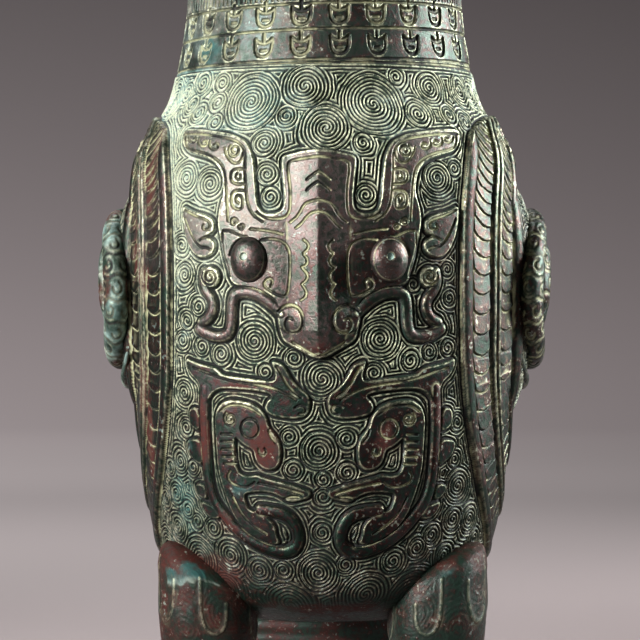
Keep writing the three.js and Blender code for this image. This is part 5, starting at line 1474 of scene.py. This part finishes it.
def buildLidEyes():
    # ringed discs with a boss
    rho = np.linspace(lidEye["radius"], 0.05, int(110 / coarse))[:, None]
    phi = np.linspace(0, 2 * math.pi, int(150 / coarse))[None, :]
    ringed = np.interp(rho, *lidEye["section"])
    rays = lidEye["rayCut"] * np.cos(lidEye["rays"] * phi) * smooth(8.8, 9.4, rho) * smooth(12.1, 11.5, rho)
    rope = lidEye["ropeCut"] * np.cos(lidEye["rope"] * phi + 2 * (rho - 13.5))
    rope = rope * smooth(12.8, 13.2, rho) * smooth(14.4, 14.0, rho)
    place, way = lidFrame(lidEye["out"], lidEye["height"])
    right = Vector((0, 0, 1)).cross(way).normalized()
    high = ringed + rays + rope
    disc = spread(place, (rho * np.cos(phi), right), (rho * np.sin(phi), way.cross(right)), (high, way))
    skirt = disc[:1] - np.array(way) * lidEye["skirt"]
    layers = finishLayers(np.vstack([high[:1], high]), 0.25, 0.8, 0.0)
    disc = np.concatenate([skirt, disc], 0)
    pairOf("LidEye", disc, layers, bronzeWorn, "bronze_worn", "lid", "_lid_eye")


beak = {   # the path is measured from the vessel's axis
    "path": [(0, -51, 368), (0, -64, 367), (0, -74.5, 360.6), (0, -79, 350), (0, -76, 339.5)],
    "thick": 12.4, "tip": 0.9, "flat": 1.05, "keel": 1.5,
    "lipCut": 0.9, "lips": (-0.15, math.pi + 0.15, 2 * math.pi - 0.15),
    "nostrilCut": 1.6, "nostrilRun": 24, "nostrils": (0.85, 2.29), "cere": 0.5, "cereRun": 32,
}


def buildBeak():
    path = splineThrough(beak["path"], int(170 / coarse))
    path[:, 1] += vessel["axisBack"]
    thick = beak["thick"] * (1 - beak["tip"] * np.linspace(0, 1, len(path)))

    def keel(run, turned):
        edge = beak["keel"] * hump(turned, math.pi / 2, 0.22)
        lip = -beak["lipCut"] * sum(hump(turned, at, 0.1) for at in beak["lips"])
        holes = sum(hump(turned, at, 0.16) for at in beak["nostrils"])
        nostril = -beak["nostrilCut"] * hump(run, beak["nostrilRun"], 2.2) * holes
        cere = beak["cere"] * hump(run, beak["cereRun"], 0.9)
        return (edge + lip + nostril + cere) * np.clip(thick / 8, 0, 1)[:, None]
    points, lift = tubeSheet(path, thick, (0, -0.5, 1), int(96 / coarse), beak["flat"], keel)
    piece = gridPiece("owlBeak", points, finishLayers(lift, 0.4, 0.8, 0.0), bronzeWorn)
    settle(piece, "lid", "bronze_worn", "beak")


tuft = {
    "path": [(29, -12.5, 386), (32, -14.5, 413), (41, -8.5, 440)], "thick": 12.8, "close": 1.42, "flat": 0.62,
    "vanes": 10, "vaneRise": 0.45, "notch": 0.35, "notchStep": 3.2, "notchSlope": 2.5,
}


def buildTufts():
    path = splineThrough(tuft["path"], int(200 / coarse))
    thick = tuft["thick"] * np.cos(tuft["close"] * np.linspace(0, 1, len(path))) ** 0.9

    def plume(run, turned):
        vane = tuft["vaneRise"] * np.cos(tuft["vanes"] * turned) * smooth(0, 8, run)
        slant = run + tuft["notchSlope"] * np.abs(np.sin(turned))
        notch = tuft["notch"] * np.cos(2 * math.pi * slant / tuft["notchStep"])
        return (vane + notch) * np.clip(thick / 6, 0, 1)[:, None]
    points, lift = tubeSheet(path, thick, (0, 1, 0), int(110 / coarse), tuft["flat"], plume)
    pairOf("Tuft", points, finishLayers(lift, 0.4, 0.4, 0.25), bronzeGreen, "bronze_green", "lid", "_tuft")


knob = {
    "line": [(8.4, 404), (7.2, 410), (6.0, 414.6), (9.5, 416.4), (12.2, 418), (12.4, 420), (9.3, 425),
             (4, 427.4), (0.1, 428)],
    "sides": 180, "petals": 8, "petalRise": 0.55, "petalFrom": (418.5, 420), "petalTo": (427.6, 425),
    "lineAt": 412, "lineCut": 0.5, "lineWidth": 0.5,
}


def buildKnob():
    stem = evenly(splineThrough(knob["line"], 300), 0.25 * coarse)
    turn = np.linspace(-math.pi, math.pi, knob["sides"] + 1)
    z = stem[:, 1:]
    petals = knob["petalRise"] * np.abs(np.cos(knob["petals"] / 2 * turn))[None, :] ** 0.6
    petals = petals * smooth(*knob["petalFrom"], z) * smooth(*knob["petalTo"], z)
    relief = petals - knob["lineCut"] * hump(z, knob["lineAt"], knob["lineWidth"])
    points = turnedSheet(stem, knob["sides"], 1.0, relief)
    piece = gridPiece("lidKnob", points, finishLayers(relief, 0.3, 0.8, 0.0), bronzeDark)
    settle(piece, "lid", "bronze_dark", "knob")


buildLining()
buildEyes()
print("lining and eyes built")
buildSerpents()
buildSerpentHeads()
print("serpents built")
buildLegs()
buildFeet()
buildTail()
print("legs, feet and tail built")
buildHead()
buildLidEyes()
buildBeak()
buildTufts()
buildKnob()
print("head lid built")
